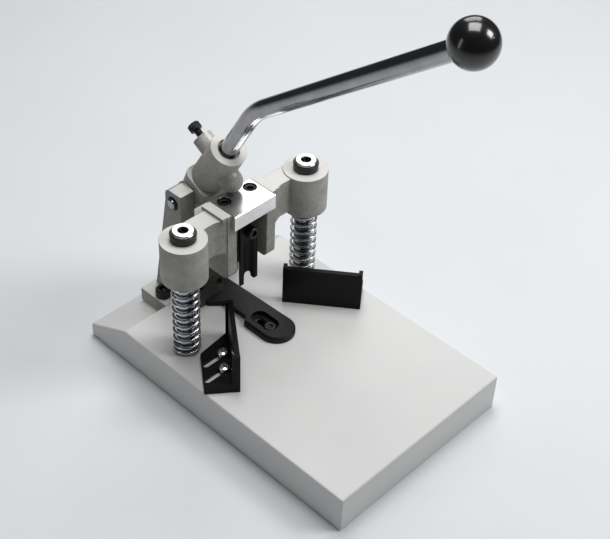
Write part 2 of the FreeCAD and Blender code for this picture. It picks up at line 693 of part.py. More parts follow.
def make_column():
    piece = new_body("column")
    ridge = base_length / 2 - slope_run + rest_gap
    profile = new_sketch(piece, "YZ_Plane")
    polygon(profile, [
        (ear_front, base_thick),
        (ridge, base_thick),
        (ridge, seat_floor),
        (foot_back, seat_floor),
        (foot_back, base_thick),
        (foot_back - 3, base_thick),
        (ear_back, pivot_high),
        (ear_back, ear_top),
        (ear_front, ear_top),
    ])
    pad(piece, profile, ear_half * 2, both_ways=True)
    foot = new_sketch(piece, "XY_Plane", seat_floor)
    rectangle(foot, -foot_half, foot_half, ridge, foot_back)
    pad(piece, foot, base_thick - seat_floor)
    fork = new_sketch(piece, "XZ_Plane", 1 - ear_front)
    rectangle(fork, -ear_inner, ear_inner, fork_low, ear_top + 1)
    pocket(piece, fork, foot_back - ear_front + 2)
    bore = new_sketch(piece, "YZ_Plane")
    circle(bore, pivot_back, pivot_high, pin_wide)
    pocket(piece, bore, ear_half * 2 + 2, both_ways=True)
    for side in (-1, 1):
        well = new_sketch(piece, "YZ_Plane", (ear_half - pin_well_deep) * side)
        circle(well, pivot_back, pivot_high, pin_well_wide)
        pocket(piece, well, pin_well_deep + 1, reverse=side > 0)
    guide_taps = new_sketch(piece, "XZ_Plane", -ear_front)
    for across, high in guide_screws:
        circle(guide_taps, across, high, M4.shank)
    pocket(piece, guide_taps, guide_tap_deep)
    taps = new_sketch(piece, "XY_Plane", seat_floor)
    for side in (-1, 1):
        circle(taps, under_screw_half * side, under_screw_back, M8.shank)
    pocket(piece, taps, under_tap_deep, reverse=True)
    clearance = new_sketch(piece, "XY_Plane", base_thick)
    for side in (-1, 1):
        circle(clearance, foot_screw_half * side, foot_screw_back, M8.hole)
    pocket(piece, clearance, base_thick - seat_floor + 1)
    grub = new_sketch(piece, "XZ_Plane", -ear_back - 1)
    circle(grub, (ear_half + ear_inner) / 2, pivot_high, GRUB.shank)
    pocket(piece, grub, ear_back - pivot_back - pin_wide / 2 + 2, reverse=True)
    top = ear_top.value
    dress(piece, "Fillet", 5, lambda edge: runs_along(edge, 0) and near(middle_of(edge).z, top)
          and near(middle_of(edge).y, ear_back))
    dress(piece, "Fillet", 1.2, lambda edge: runs_along(edge, 2)
          and near(abs(middle_of(edge).x), ear_half) and near(middle_of(edge).y, ear_front))
    return piece


def make_guide_block():
    """Blackened block on the column's front; its right side guides the anvil bar's tail."""
    piece = new_body("guide_block", guide_right)
    profile = new_sketch(piece, "YZ_Plane")
    polygon(profile, [
        (guide_front, base_thick),
        (ear_front, base_thick),
        (ear_front, guide_high),
        (guide_front + guide_bevel, guide_high),
        (guide_front, guide_high - guide_bevel),
    ])
    pad(piece, profile, ear_half + guide_right, reverse=True)
    wells = new_sketch(piece, "XZ_Plane", -guide_front)
    shafts = new_sketch(piece, "XZ_Plane", -guide_front)
    for across, high in guide_screws:
        circle(wells, across - guide_right, high, M4.well)
        circle(shafts, across - guide_right, high, M4.hole)
    pocket(piece, shafts, ear_front - guide_front + 1)
    pocket(piece, wells, guide_well_deep)
    return piece


def make_guide_block_screws():
    screws = []
    for across, high in guide_screws:
        screw = cap_screw("guide_block_screw", M4, 15)
        place(screw, across, guide_front + guide_well_deep, high, as_size(90))
        screws.append(screw)
    return grouped("guide_block_screws", screws)


def make_foot_screws():
    screws = []
    for side in (-1, 1):
        screw = cap_screw("foot_screw", M8, 25)
        place(screw, foot_screw_half * side, foot_screw_back, base_thick)
        screws.append(screw)
    return grouped("column_foot_screws", screws)


def make_under_screws():
    screws = []
    for side in (-1, 1):
        screw = cap_screw("under_screw", M8, 38, upside_down=True)
        place(screw, under_screw_half * side, under_screw_back, well_deep)
        screws.append(screw)
    return grouped("column_under_screws", screws)


def make_pivot_pin():
    piece = new_body("pivot_pin", 0, pivot_back, pivot_high)
    outline = new_sketch(piece, "YZ_Plane")
    circle(outline, 0, 0, pin_wide)
    pad(piece, outline, (ear_half + pin_proud) * 2, both_ways=True)
    dress(piece, "Fillet", 1.2, lambda edge: near(edge.Length, math.pi * pin_wide.value))
    return piece


def make_pin_grub_screw():
    """Comes in from the rear of the right ear and stops on the pin."""
    long = ear_back - pivot_back - pin_wide / 2
    piece = new_body("pin_grub_screw", (ear_half + ear_inner) / 2, ear_back, pivot_high)
    outline = new_sketch(piece, "XZ_Plane")
    circle(outline, 0, 0, GRUB.shank)
    pad(piece, outline, long)
    drive = new_sketch(piece, "XZ_Plane")
    hexagon(drive, 0, 0, GRUB.socket)
    pocket(piece, drive, GRUB.socket_deep, reverse=True)
    return piece


def make_hub_washers():
    rings = []
    thick = 1
    for side in (-1, 1):
        ring = new_body("hub_washer", (ear_inner - thick / 2) * side, pivot_back, pivot_high)
        outline = new_sketch(ring, "YZ_Plane")
        circle(outline, 0, 0, hub_washer_wide)
        circle(outline, 0, 0, pin_wide + 0.2)
        pad(ring, outline, thick, both_ways=True)
        rings.append(ring)
    return grouped("hub_washers", rings)


def make_lever_hub():
    """Its own frame has the pivot at the origin and the socket along +Z."""
    piece = new_body("lever_hub", 0, pivot_back, pivot_high, lever_lean)
    neck = new_sketch(piece, "YZ_Plane")
    polygon(neck, [
        (-barrel_wide / 2, 0),
        (barrel_wide / 2, 0),
        (tube_wide / 2, neck_high),
        (-tube_wide / 2, neck_high),
    ])
    pad(piece, neck, hub_half * 2, both_ways=True)
    dress(piece, "Fillet", neck_round, lambda edge: near(abs(middle_of(edge).x), hub_half)
          and near(middle_of(edge).z, neck_high / 2, 1))
    barrel = new_sketch(piece, "YZ_Plane")
    circle(barrel, 0, 0, barrel_wide)
    pad(piece, barrel, hub_half * 2, both_ways=True)
    tube = new_sketch(piece, "XY_Plane", neck_high)
    circle(tube, 0, 0, tube_wide)
    pad(piece, tube, tube_long - neck_high)
    rise = plate_top + nose_round - pivot_high
    nose_y = rise * sine(lever_lean) - nose_reach * cosine(lever_lean)
    nose_z = rise * cosine(lever_lean) + nose_reach * sine(lever_lean)
    stub = new_sketch(piece, "XZ_Plane")
    circle(stub, 0, nose_z, nose_round * 2)
    pad(piece, stub, -nose_y)
    ball = new_sketch(piece, "XZ_Plane", -nose_y)
    half_disc(ball, nose_z, nose_round)
    turned(piece, ball)
    lug = new_sketch(piece, "XZ_Plane")
    circle(lug, 0, tube_long - lug_down, lug_wide)
    pad(piece, lug, lug_reach, reverse=True)
    socket = new_sketch(piece, "XY_Plane", tube_long)
    circle(socket, 0, 0, rod_wide)
    pocket(piece, socket, socket_deep)
    mouth = new_sketch(piece, "XY_Plane", tube_long)
    circle(mouth, 0, 0, mouth_wide)
    pocket(piece, mouth, mouth_deep)
    tap = new_sketch(piece, "XZ_Plane", -lug_reach)
    circle(tap, 0, tube_long - lug_down, M6.shank)
    pocket(piece, tap, lug_reach, reverse=True)
    bore = new_sketch(piece, "YZ_Plane")
    circle(bore, 0, 0, pin_wide + running_gap * 2)
    pocket(piece, bore, hub_half * 2 + 2, both_ways=True)
    return piece


def make_handle_rod():
    """In the hub's frame: up the socket, round the bend, and along to the knob."""
    piece = new_body("handle_rod", 0, pivot_back, pivot_high, lever_lean)
    start = tube_long - socket_deep
    section = new_sketch(piece, "XY_Plane", start)
    circle(section, 0, 0, rod_wide)
    run = new_sketch(piece, "YZ_Plane")
    cut_back = bend_round * tangent(bend_turn / 2)
    out = knob_out - knob_neck
    bend_start = (as_size(0), bend_up - cut_back)
    bend_stop = (-cut_back * sine(bend_turn), bend_up + cut_back * cosine(bend_turn))
    finish = (-out * sine(bend_turn), bend_up + out * cosine(bend_turn))
    middle = (-bend_round, bend_up - cut_back)
    up = FreeCAD.Vector(0, 0, 1)

    def at(point):
        return FreeCAD.Vector(point[0].value, point[1].value, 0)

    low = FreeCAD.Vector(0, start.value, 0)
    turn = math.radians(bend_turn.value)
    run.addGeometry(Part.LineSegment(low, at(bend_start)), False)
    bend = Part.ArcOfCircle(Part.Circle(at(middle), up, bend_round.value), 0, turn)
    run.addGeometry(bend, False)
    run.addGeometry(Part.LineSegment(at(bend_stop), at(finish)), False)
    run.addConstraint(Sketcher.Constraint("Coincident", 0, 2, 1, 1))
    run.addConstraint(Sketcher.Constraint("Coincident", 1, 2, 2, 1))
    pin_point(run, 0, 1, as_size(0), start)
    pin_point(run, 1, 1, *bend_start)
    pin_point(run, 1, 2, *bend_stop)
    bind(run, Sketcher.Constraint("Radius", 1, bend_round.value), bend_round)
    pin_point(run, 2, 2, *finish)
    doc.recompute()
    pipe = piece.newObject("PartDesign::AdditivePipe", "handle_rod_pipe")
    pipe.Profile = section
    pipe.Spine = (run, ["Edge1", "Edge2", "Edge3"])
    doc.recompute()
    stud = new_sketch(piece, "XY_Plane")
    place_across_end(stud, finish)
    circle(stud, 0, 0, stud_wide)
    pad(piece, stud, knob_neck)
    return piece


def place_across_end(sketch, point):
    """Lift a sketch of the XY plane to a point of the rod's upper run, square to it."""
    tilt = FreeCAD.Rotation(FreeCAD.Vector(1, 0, 0), bend_turn.value)
    sketch.AttachmentOffset = FreeCAD.Placement(FreeCAD.Vector(0, point[0].value, point[1].value), tilt)
    sketch.setExpression("AttachmentOffset.Base.y", point[0].text)
    sketch.setExpression("AttachmentOffset.Base.z", point[1].text)
    sketch.setExpression("AttachmentOffset.Rotation.Angle", f"{bend_turn.text} * 1 deg")


def knob_place():
    """The knob's middle, in the machine's frame, and its tilt about X."""
    lean = lever_lean + bend_turn
    y = pivot_back - bend_up * sine(lever_lean) - knob_out * sine(lean)
    z = pivot_high + bend_up * cosine(lever_lean) + knob_out * cosine(lean)
    return y, z, lean


def make_ball_knob():
    """Its own frame has the ball's middle at the origin and the rod coming from below."""
    y, z, lean = knob_place()
    piece = new_body("ball_knob", 0, y, z, lean)
    profile = new_sketch(piece, "XZ_Plane")
    radius = knob_wide.value / 2
    dip = -knob_neck.value
    flat = math.sqrt(radius ** 2 - dip ** 2)
    start = math.atan2(dip, flat)
    up = FreeCAD.Vector(0, 0, 1)
    ball = Part.ArcOfCircle(Part.Circle(FreeCAD.Vector(0, 0, 0), up, radius), start, math.pi / 2)
    first = profile.addGeometry(ball, False)
    pole = FreeCAD.Vector(0, radius, 0)
    foot = FreeCAD.Vector(0, dip, 0)
    rim = FreeCAD.Vector(flat, dip, 0)
    profile.addGeometry(Part.LineSegment(pole, foot), False)
    profile.addGeometry(Part.LineSegment(foot, rim), False)
    profile.addConstraint(Sketcher.Constraint("Coincident", first, 2, first + 1, 1))
    profile.addConstraint(Sketcher.Constraint("Coincident", first + 1, 2, first + 2, 1))
    profile.addConstraint(Sketcher.Constraint("Coincident", first + 2, 2, first, 1))
    profile.addConstraint(Sketcher.Constraint("Coincident", first, 3, -1, 1))
    profile.addConstraint(Sketcher.Constraint("PointOnObject", first + 1, 1, -2))
    profile.addConstraint(Sketcher.Constraint("Vertical", first + 1))
    profile.addConstraint(Sketcher.Constraint("Horizontal", first + 2))
    bind(profile, Sketcher.Constraint("Radius", first, radius), knob_wide / 2)
    bind(profile, Sketcher.Constraint("DistanceY", -1, 1, first + 1, 2, dip), -knob_neck)
    turned(piece, profile)
    bore = new_sketch(piece, "XY_Plane", -knob_neck)
    circle(bore, 0, 0, insert_wide)
    pocket(piece, bore, knob_neck + 1, reverse=True)
    return piece


def make_knob_insert():
    y, z, lean = knob_place()
    piece = new_body("knob_insert", 0, y, z, lean)
    ring = new_sketch(piece, "XY_Plane", -knob_neck)
    circle(ring, 0, 0, insert_wide)
    circle(ring, 0, 0, stud_wide)
    pad(piece, ring, knob_neck + 1)
    return piece


def make_handle_clamp_screw():
    """In the hub's frame; it stops on the rod, with part of its thread showing."""
    y = pivot_back - (tube_long - lug_down) * sine(lever_lean)
    z = pivot_high + (tube_long - lug_down) * cosine(lever_lean)
    reach = lug_reach + 6.5
    piece = cap_screw("handle_clamp_screw", M6, reach - rod_wide / 2)
    lean = lever_lean - 90
    place(piece, 0, y + reach * cosine(lever_lean), z + reach * sine(lever_lean), lean)
    return piece


# Crosshead and what it carries

def make_crosshead():
    """Its own frame stands on the bosses' underside."""
    piece = new_body("crosshead", 0, 0, boss_low)
    bosses = new_sketch(piece, "XY_Plane")
    for side in (-1, 1):
        circle(bosses, post_half * side, post_back, boss_wide)
    doc.recompute()
    arms = new_sketch(piece, "XY_Plane", arm_low)
    polygon(arms, [
        (-post_half, arm_front),
        (-cheek_half - arm_flare, arm_front),
        (-cheek_half, cheek_front + 0.8),
        (cheek_half, cheek_front + 0.8),
        (cheek_half + arm_flare, arm_front),
        (post_half, arm_front),
        (post_half, arm_front + arm_deep),
        (-post_half, arm_front + arm_deep),
    ])
    pad(piece, arms, boss_high - arm_low - arm_drop)
    flare_start = (cheek_half + arm_flare).value
    dress(piece, "Fillet", flare_round, lambda edge: runs_along(edge, 2)
          and near(abs(middle_of(edge).x), flare_start))
    pad(piece, bosses, boss_high)
    block = new_sketch(piece, "XY_Plane", cheek_low - boss_low)
    rectangle(block, -cheek_half, cheek_half, cheek_front, cheek_back)
    pad(piece, block, plate_top - cheek_low)
    flange = new_sketch(piece, "XY_Plane", plate_top - boss_low)
    rectangle(flange, -flange_half, flange_half, cheek_front + 0.6, cheek_back)
    pad(piece, flange, flange_thick, reverse=True)

    seat = new_sketch(piece, "XY_Plane", plate_top - boss_low)
    rectangle(seat, -plate_half, plate_half, cheek_front - 1, cheek_back + 1)
    pocket(piece, seat, plate_thick)
    channel = new_sketch(piece, "XY_Plane", plate_top - boss_low)
    rectangle(channel, -channel_half, channel_half, cheek_front - 1, blade_front + blade_deep)
    pocket(piece, channel, plate_top - cheek_low + 1)
    bores = new_sketch(piece, "XY_Plane", boss_high)
    for side in (-1, 1):
        circle(bores, post_half * side, post_back, sleeve_wide)
    pocket(piece, bores, boss_high + 1)
    plate_taps = new_sketch(piece, "XY_Plane", plate_top - plate_thick - boss_low)
    for side in (-1, 1):
        circle(plate_taps, plate_screw_half * side, plate_screw_back, M6.shank)
    pocket(piece, plate_taps, small_tap_deep)
    blade_tap = new_sketch(piece, "XZ_Plane", -(blade_front + blade_deep))
    circle(blade_tap, 0, blade_screw_high - boss_low, M6.shank)
    pocket(piece, blade_tap, 9.5)
    cheek = cheek_half.value

    def under_arm(edge):
        point = middle_of(edge)
        return near(abs(point.x), cheek) and runs_along(edge, 1) and near(point.z, arm_low)

    dress(piece, "Fillet", arm_fillet, under_arm)
    dress(piece, "Fillet", cheek_round, lambda edge: runs_along(edge, 0)
          and near(middle_of(edge).y, cheek_front) and near(middle_of(edge).z, cheek_low - boss_low))
    return piece


def make_guide_sleeve(name, side):
    piece = washer(f"guide_sleeve_{name}", sleeve_wide, post_wide + running_gap * 2, boss_high)
    place(piece, post_half * side, post_back, boss_low)
    return piece


def make_pressure_plate():
    piece = new_body("pressure_plate", 0, plate_front, plate_top - plate_thick)
    outline = new_sketch(piece, "XY_Plane")
    rectangle(outline, -plate_half, plate_half, 0, plate_deep)
    pad(piece, outline, plate_thick)
    dress(piece, "Chamfer", 0.6, lambda edge: near(middle_of(edge).z, plate_thick))
    wells = new_sketch(piece, "XY_Plane", plate_thick)
    shafts = new_sketch(piece, "XY_Plane", plate_thick)
    for side in (-1, 1):
        circle(wells, plate_screw_half * side, plate_screw_back - plate_front, M6.well)
        circle(shafts, plate_screw_half * side, plate_screw_back - plate_front, M6.hole)
    pocket(piece, shafts, plate_thick + 1)
    pocket(piece, wells, plate_well_deep)
    return piece


def make_pressure_plate_screws():
    screws = []
    for side in (-1, 1):
        screw = cap_screw("plate_screw", M6, 18)
        place(screw, plate_screw_half * side, plate_screw_back, plate_top - plate_well_deep)
        screws.append(screw)
    return grouped("pressure_plate_screws", screws)


def make_corner_blade():
    """A gouge: a hollow front with a rounded root, sloping sides and an arched lower end."""
    high = plate_top - plate_thick - blade_low
    piece = new_body("corner_blade", 0, blade_front, blade_low)
    section = new_sketch(piece, "XY_Plane")
    polygon(section, [
        (-blade_wide / 2, 0),
        (blade_wide / 2, 0),
        (blade_wide / 2, blade_side_deep),
        (blade_seat_half, blade_deep),
        (-blade_seat_half, blade_deep),
        (-blade_wide / 2, blade_side_deep),
    ])
    pad(piece, section, high)
    cut_hollow(piece)
    arch = new_sketch(piece, "XZ_Plane", 1)
    circle(arch, 0, arch_high - arch_half, arch_half * 2)
    pocket(piece, arch, blade_deep + 2)
    gap = new_sketch(piece, "XZ_Plane", 1)
    rectangle(gap, -arch_half, arch_half, -1, arch_high - arch_half)
    pocket(piece, gap, blade_deep + 2)
    bevel = new_sketch(piece, "YZ_Plane")
    polygon(bevel, [
        (tip_deep, -1),
        (tip_deep, 0),
        (blade_deep, relief_high),
        (blade_deep + 1, relief_high),
        (blade_deep + 1, -1),
    ])
    pocket(piece, bevel, blade_wide + 2, both_ways=True)
    shaft = new_sketch(piece, "XZ_Plane", 1)
    circle(shaft, 0, blade_screw_high - blade_low, M6.hole)
    pocket(piece, shaft, blade_deep + 2)
    return piece


def cut_hollow(piece):
    """Two flats at 45 degrees to the front face, joined by the radius that the blade cuts."""
    hollow = new_sketch(piece, "XY_Plane")
    touch_half = vee_radius * math.sqrt(0.5)
    touch_deep = vee_wide / 2 - touch_half
    root_middle = vee_wide / 2 - vee_radius * math.sqrt(2)
    outside = vee_wide / 2 + 1
    up = FreeCAD.Vector(0, 0, 1)

    def at(x, y):
        return FreeCAD.Vector(as_size(x).value, as_size(y).value, 0)

    hollow.addGeometry(Part.LineSegment(at(-touch_half, touch_deep), at(-outside, -1)), False)
    hollow.addGeometry(Part.LineSegment(at(-outside, -1), at(outside, -1)), False)
    hollow.addGeometry(Part.LineSegment(at(outside, -1), at(touch_half, touch_deep)), False)
    ring = Part.Circle(at(0, root_middle), up, vee_radius.value)
    hollow.addGeometry(Part.ArcOfCircle(ring, math.pi / 4, 3 * math.pi / 4), False)
    for item, end, after, start in ((0, 2, 1, 1), (1, 2, 2, 1), (2, 2, 3, 1), (3, 2, 0, 1)):
        hollow.addConstraint(Sketcher.Constraint("Coincident", item, end, after, start))
    pin_point(hollow, 0, 2, -outside, as_size(-1))
    pin_point(hollow, 1, 2, outside, as_size(-1))
    pin_point(hollow, 3, 3, as_size(0), root_middle)
    bind(hollow, Sketcher.Constraint("DistanceX", -1, 1, 3, 1, touch_half.value), touch_half)
    bind(hollow, Sketcher.Constraint("DistanceX", -1, 1, 3, 2, -touch_half.value), -touch_half)
    bind(hollow, Sketcher.Constraint("Radius", 3, vee_radius.value), vee_radius)
    pocket(piece, hollow, hollow_high, reverse=True)


def make_blade_screw():
    long = blade_deep + 8
    piece = cap_screw("blade_screw", M6, long)
    place(piece, 0, blade_front, blade_screw_high, as_size(90))
    return piece


# Anvil bar and fences

def make_anvil_bar():
    """Lies on the base under the blade; its slot lets it be moved forward."""
    piece = new_body("anvil_bar", 0, 0, base_thick)
    front = new_sketch(piece, "XY_Plane")
    circle(front, 0, anvil_round_back, anvil_half * 2)
    pad(piece, front, anvil_thick)
    bar = new_sketch(piece, "XY_Plane")
    shoulder_half = anvil_half - 2.5
    polygon(bar, [
        (-anvil_half, anvil_round_back),
        (anvil_half, anvil_round_back),
        (shoulder_half, anvil_back),
        (guide_right + anvil_gap, anvil_back),
        (guide_right + anvil_gap, wing_back),
        (-wing_half, wing_back),
        (-wing_half + 1.5, wing_back - 3),
        (-anvil_tail_half - 1, wing_back - 11),
        (-anvil_tail_half, wing_back - 13),
        (-anvil_tail_half, anvil_notch_back + 3),
        (-anvil_half + 3, anvil_notch_back),
        (-anvil_half, anvil_notch_back - 2),
    ])
    pad(piece, bar, anvil_thick)
    top = anvil_thick.value
    round_length = math.pi * anvil_half.value

    def front_rim(edge):
        point = middle_of(edge)
        return near(point.z, top) and near(edge.Length, round_length, 0.5)

    dress(piece, "Chamfer", anvil_rim, front_rim)
    rim = new_sketch(piece, "XY_Plane", anvil_thick)
    slot_back = anvil_slot_front + anvil_slot_long
    upright_slot(rim, anvil_slot_off, anvil_slot_front, slot_back, anvil_slot_wide)
    pocket(piece, rim, anvil_slot_deep)
    slot = new_sketch(piece, "XY_Plane", anvil_thick)
    upright_slot(slot, anvil_slot_off, anvil_slot_front, slot_back, M6.hole)
    pocket(piece, slot, anvil_thick + 1)
    return piece


def make_anvil_screw():
    piece = cap_screw("anvil_screw", M6_LOW, 14)
    place(piece, anvil_slot_off, anvil_slot_front, base_thick + anvil_thick - anvil_slot_deep)
    return piece


def fence_point(along, behind):
    """A point of the right fence: along its face from the near end, and behind the face."""
    lengthways = (sine(fence_angle), cosine(fence_angle))
    near_x = fence_mid_half + fence_long / 2 * lengthways[0]
    near_y = fence_mid_back - fence_long / 2 * lengthways[1]
    x = near_x - along * lengthways[0] + behind * lengthways[1]
    y = near_y + along * lengthways[1] + behind * lengthways[0]
    return x, y


def make_fence(name, side):
    """An upright wall on a flat foot, with a low rib along the foot's near edge."""
    piece = new_body(f"fence_{name}", 0, 0, base_thick)

    def raise_outline(points, thick):
        flat = new_sketch(piece, "XY_Plane")
        corners = [fence_point(as_size(along), as_size(behind)) for along, behind in points]
        polygon(flat, [(x * side, y) for x, y in corners])
        return pad(piece, flat, thick)

    def block(along_low, along_high, behind_low, behind_high, thick):
        raise_outline([(along_low, behind_low), (along_high, behind_low),
                       (along_high, behind_high), (along_low, behind_high)], thick)

    block(0, fence_long, 0, fence_thick, fence_high)
    raise_outline([(0, 0), (fence_long, 0), (fence_long, fence_thick),
                   (flat_long, flat_wide), (0, flat_wide)], flat_thick)
    block(0, rib_thick, 0, flat_wide, flat_thick + rib_high)
    block(0, rib_thick, 0, fence_thick + 2, fence_high + 1)
    block(fence_long - rib_thick, fence_long, 0, fence_thick + 2, fence_high + 1)
    slots = new_sketch(piece, "XY_Plane", flat_thick)
    for along in (fence_screw_near, fence_screw_far):
        x, y = fence_point(along, fence_screw_in)
        inner = x * side
        outer = (x + fence_slot_long) * side
        low, high = (inner, outer) if side > 0 else (outer, inner)
        long_slot(slots, low, high, y, fence_slot_wide)
    pocket(piece, slots, flat_thick + 1)
    return piece


def make_fence_screws(name, side):
    screws = []
    for along in (fence_screw_near, fence_screw_far):
        screw = pan_screw(f"fence_{name}_screw", FENCE_THREAD, fence_head_wide, fence_head_high, 17)
        x, y = fence_point(along, fence_screw_in)
        place(screw, x * side, y, base_thick + flat_thick)
        screws.append(screw)
    return grouped(f"fence_{name}_screws", screws)


make_base_plate()
for name, side in (("left", -1), ("right", 1)):
    make_guide_post(name, side)
    make_buffer_washer(name, side)
    make_keeper_washer(name, side)
    make_post_cap_screw(name, side)
    make_spring(name, side)
    make_guide_sleeve(name, side)
    make_fence(name, side)
    make_fence_screws(name, side)
make_post_fixing_screws()
make_column()
make_guide_block()
make_guide_block_screws()
make_foot_screws()
make_under_screws()
make_pivot_pin()
make_pin_grub_screw()
make_hub_washers()
make_lever_hub()
make_handle_rod()
make_ball_knob()
make_knob_insert()
make_handle_clamp_screw()
make_crosshead()
make_pressure_plate()
make_pressure_plate_screws()
make_corner_blade()
make_blade_screw()
make_anvil_bar()
make_anvil_screw()
doc.recompute()

grouped_pieces = []
for item in doc.Objects:
    if item.isDerivedFrom("Part::Compound"):
        grouped_pieces.extend(item.Links)

os.makedirs("parts", exist_ok=True)
for item in doc.Objects:
    if "Invalid" in item.State or "Error" in item.State:
        raise RuntimeError(f"{item.Label} failed: {item.State}")
for item in doc.Objects:
    is_node = item.isDerivedFrom("PartDesign::Body") or item.isDerivedFrom("Part::Compound")
    if is_node and item not in grouped_pieces:
        if item.Shape.isNull() or not item.Shape.isValid():
            raise RuntimeError(f"{item.Label} has no valid shape")
        item.Shape.exportStep(f"parts/{item.Label}.step")
        print(item.Label, len(item.Shape.Solids), round(item.Shape.Volume / 1000, 2), "cm3")
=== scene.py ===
# %% [markdown]
# # A hand lever corner rounder
#
# A corner rounder trims the corners of a stack of paper. The operator pulls a lever,
# a round nose under its hub presses on a hardened plate, and a crosshead on two sprung
# posts carries a hollow blade down onto an anvil bar. This lesson dresses the working
# model: every rigid piece comes from the CAD frame at its true size, and Blender adds
# the finishes, the springs, the socket screws and the light.
#
# The CAD frame is loaded once and never moved. The finished piece has to fit the same
# space.

# %% Load the working model
import json
import math
from collections import namedtuple

import bpy
from mathutils import Matrix, Vector


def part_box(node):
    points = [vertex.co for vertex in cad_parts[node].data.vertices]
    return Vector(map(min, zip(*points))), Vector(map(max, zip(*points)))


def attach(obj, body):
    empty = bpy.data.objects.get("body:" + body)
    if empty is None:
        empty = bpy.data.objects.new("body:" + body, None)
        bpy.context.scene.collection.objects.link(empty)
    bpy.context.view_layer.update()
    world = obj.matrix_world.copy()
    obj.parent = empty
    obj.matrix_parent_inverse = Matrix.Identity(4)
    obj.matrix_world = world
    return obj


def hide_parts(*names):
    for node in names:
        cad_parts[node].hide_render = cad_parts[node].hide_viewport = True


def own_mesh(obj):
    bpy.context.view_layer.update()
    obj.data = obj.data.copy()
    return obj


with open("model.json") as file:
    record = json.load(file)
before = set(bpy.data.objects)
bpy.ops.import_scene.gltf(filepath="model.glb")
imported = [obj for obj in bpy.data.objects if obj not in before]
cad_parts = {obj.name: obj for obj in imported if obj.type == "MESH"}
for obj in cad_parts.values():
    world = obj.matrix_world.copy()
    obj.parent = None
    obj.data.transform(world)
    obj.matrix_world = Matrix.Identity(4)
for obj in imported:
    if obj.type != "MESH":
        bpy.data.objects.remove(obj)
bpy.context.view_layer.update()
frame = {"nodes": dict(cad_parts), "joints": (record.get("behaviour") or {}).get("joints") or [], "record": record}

NODES = frame["nodes"]
JOINTS = {joint["name"]: joint for joint in frame["joints"]}
MM = 0.001

# %% [markdown]
# ## Sums on sockets
#
# A finish is easier to read as a recipe than as a list of links. One small class wraps
# the output of a node, so that `wear * 0.5 + 0.2` adds the Math nodes by itself. A Math
# node keeps only one number, so colours are mixed with Mix nodes and directions are
# worked out with Vector Math.

# %% A socket that can be used in sums
class Signal:
    """The output of one node in a finish."""

    def __init__(self, finish, socket):
        self.finish = finish
        self.socket = socket

    def math(self, operation, *values):
        places = dict(enumerate(values))
        return self.finish.node("ShaderNodeMath", {"operation": operation}, places, "Value")

    def __add__(self, other):
        return self.math("ADD", self, other)

    def __sub__(self, other):
        return self.math("SUBTRACT", self, other)

    def __rsub__(self, other):
        return self.math("SUBTRACT", other, self)

    def __mul__(self, other):
        return self.math("MULTIPLY", self, other)

    def __abs__(self):
        return self.math("ABSOLUTE", self)

    __radd__ = __add__
    __rmul__ = __mul__

    def clamped(self):
        return self.math("MINIMUM", self.math("MAXIMUM", self, 0.0), 1.0)

    def between(self, low, high):
        """0 below low, 1 above high and a smooth step between them."""
        settings = {"interpolation_type": "SMOOTHSTEP"}
        values = {"Value": self, "From Min": low, "From Max": high}
        return self.finish.node("ShaderNodeMapRange", settings, values, "Result")


print("a signal knows", len([name for name in vars(Signal) if name.startswith("__r")]),
      "reflected forms, so a number may come first in a sum")

# %% [markdown]
# ## One way to make a node
#
# Every node in this lesson comes from one method. It takes the node's type, its
# settings, which decide the sockets it has, and then the value or the link of each
# socket. A constant is set on the shader's own socket, because the exported model reads
# constants only from there.

# %% A finish and its nodes
class Finish:
    """A material with a Principled shader, written as a recipe."""

    def __init__(self, name, **constants):
        self.material = bpy.data.materials.new(name)
        self.material.use_nodes = True
        self.tree = self.material.node_tree
        self.shader = self.tree.nodes["Principled BSDF"]
        for socket, value in constants.items():
            self.shader.inputs[socket.replace("_", " ")].default_value = value

    def node(self, kind, settings, values, output):
        made = self.tree.nodes.new(kind)
        for name, setting in settings.items():
            setattr(made, name, setting)
        for place, value in values.items():
            self.feed(made.inputs[place], value)
        return Signal(self, made.outputs[output])

    def feed(self, socket, value):
        if isinstance(value, Signal):
            self.tree.links.new(value.socket, socket)
        else:
            socket.default_value = value

    def set(self, socket, value):
        self.feed(self.shader.inputs[socket], value)


def show(*finishes):
    for finish in finishes:
        print(finish.material.name, "has", len(finish.tree.nodes), "nodes")


print("materials before the first recipe:", len(bpy.data.materials))

# %% [markdown]
# ## Where a point lies and how its colour varies
#
# Nothing on a workshop machine is one flat colour. Castings are lumpy, paint pools and
# thins, and ground steel has fine lines. The noise behind all of these reads the model's
# own metres, so a grain of half a millimetre is half a millimetre on every piece, and it
# stays put when the lever moves. Painted image maps would do the same job, but they need
# an unwrapped mesh and they blur when the camera comes close.

# %% Places, grain and mixed colours
def shade(red, green=None, blue=None):
    """A colour from one grey or three parts, in linear light."""
    if green is None:
        green, blue = red, red
    return (red, green, blue, 1.0)


def own_place(finish):
    """Where a point lies in the model's own metres, at rest."""
    return finish.node("ShaderNodeTexCoord", {}, {}, "Object")


def along(finish, axis):
    """One coordinate of that place: X is across the machine and Z is up."""
    return finish.node("ShaderNodeSeparateXYZ", {}, {0: own_place(finish)}, axis)


def vector_math(finish, operation, first, second, output="Value"):
    """Two directions or places worked out together, into a number or a vector."""
    values = {0: first, 1: second}
    return finish.node("ShaderNodeVectorMath", {"operation": operation}, values, output)


def stretched(finish, factors):
    """The model's own metres, squeezed along the axes that a grain runs along."""
    return vector_math(finish, "MULTIPLY", own_place(finish), factors, "Vector")


def grain(finish, size, detail=3.0, place=None, rough=0.55):
    """Noise from 0 to 1 whose lumps are about that size in metres."""
    values = {"Vector": place or own_place(finish), "Scale": 1.0 / size, "Detail": detail}
    values["Roughness"] = rough
    return finish.node("ShaderNodeTexNoise", {}, values, "Fac")


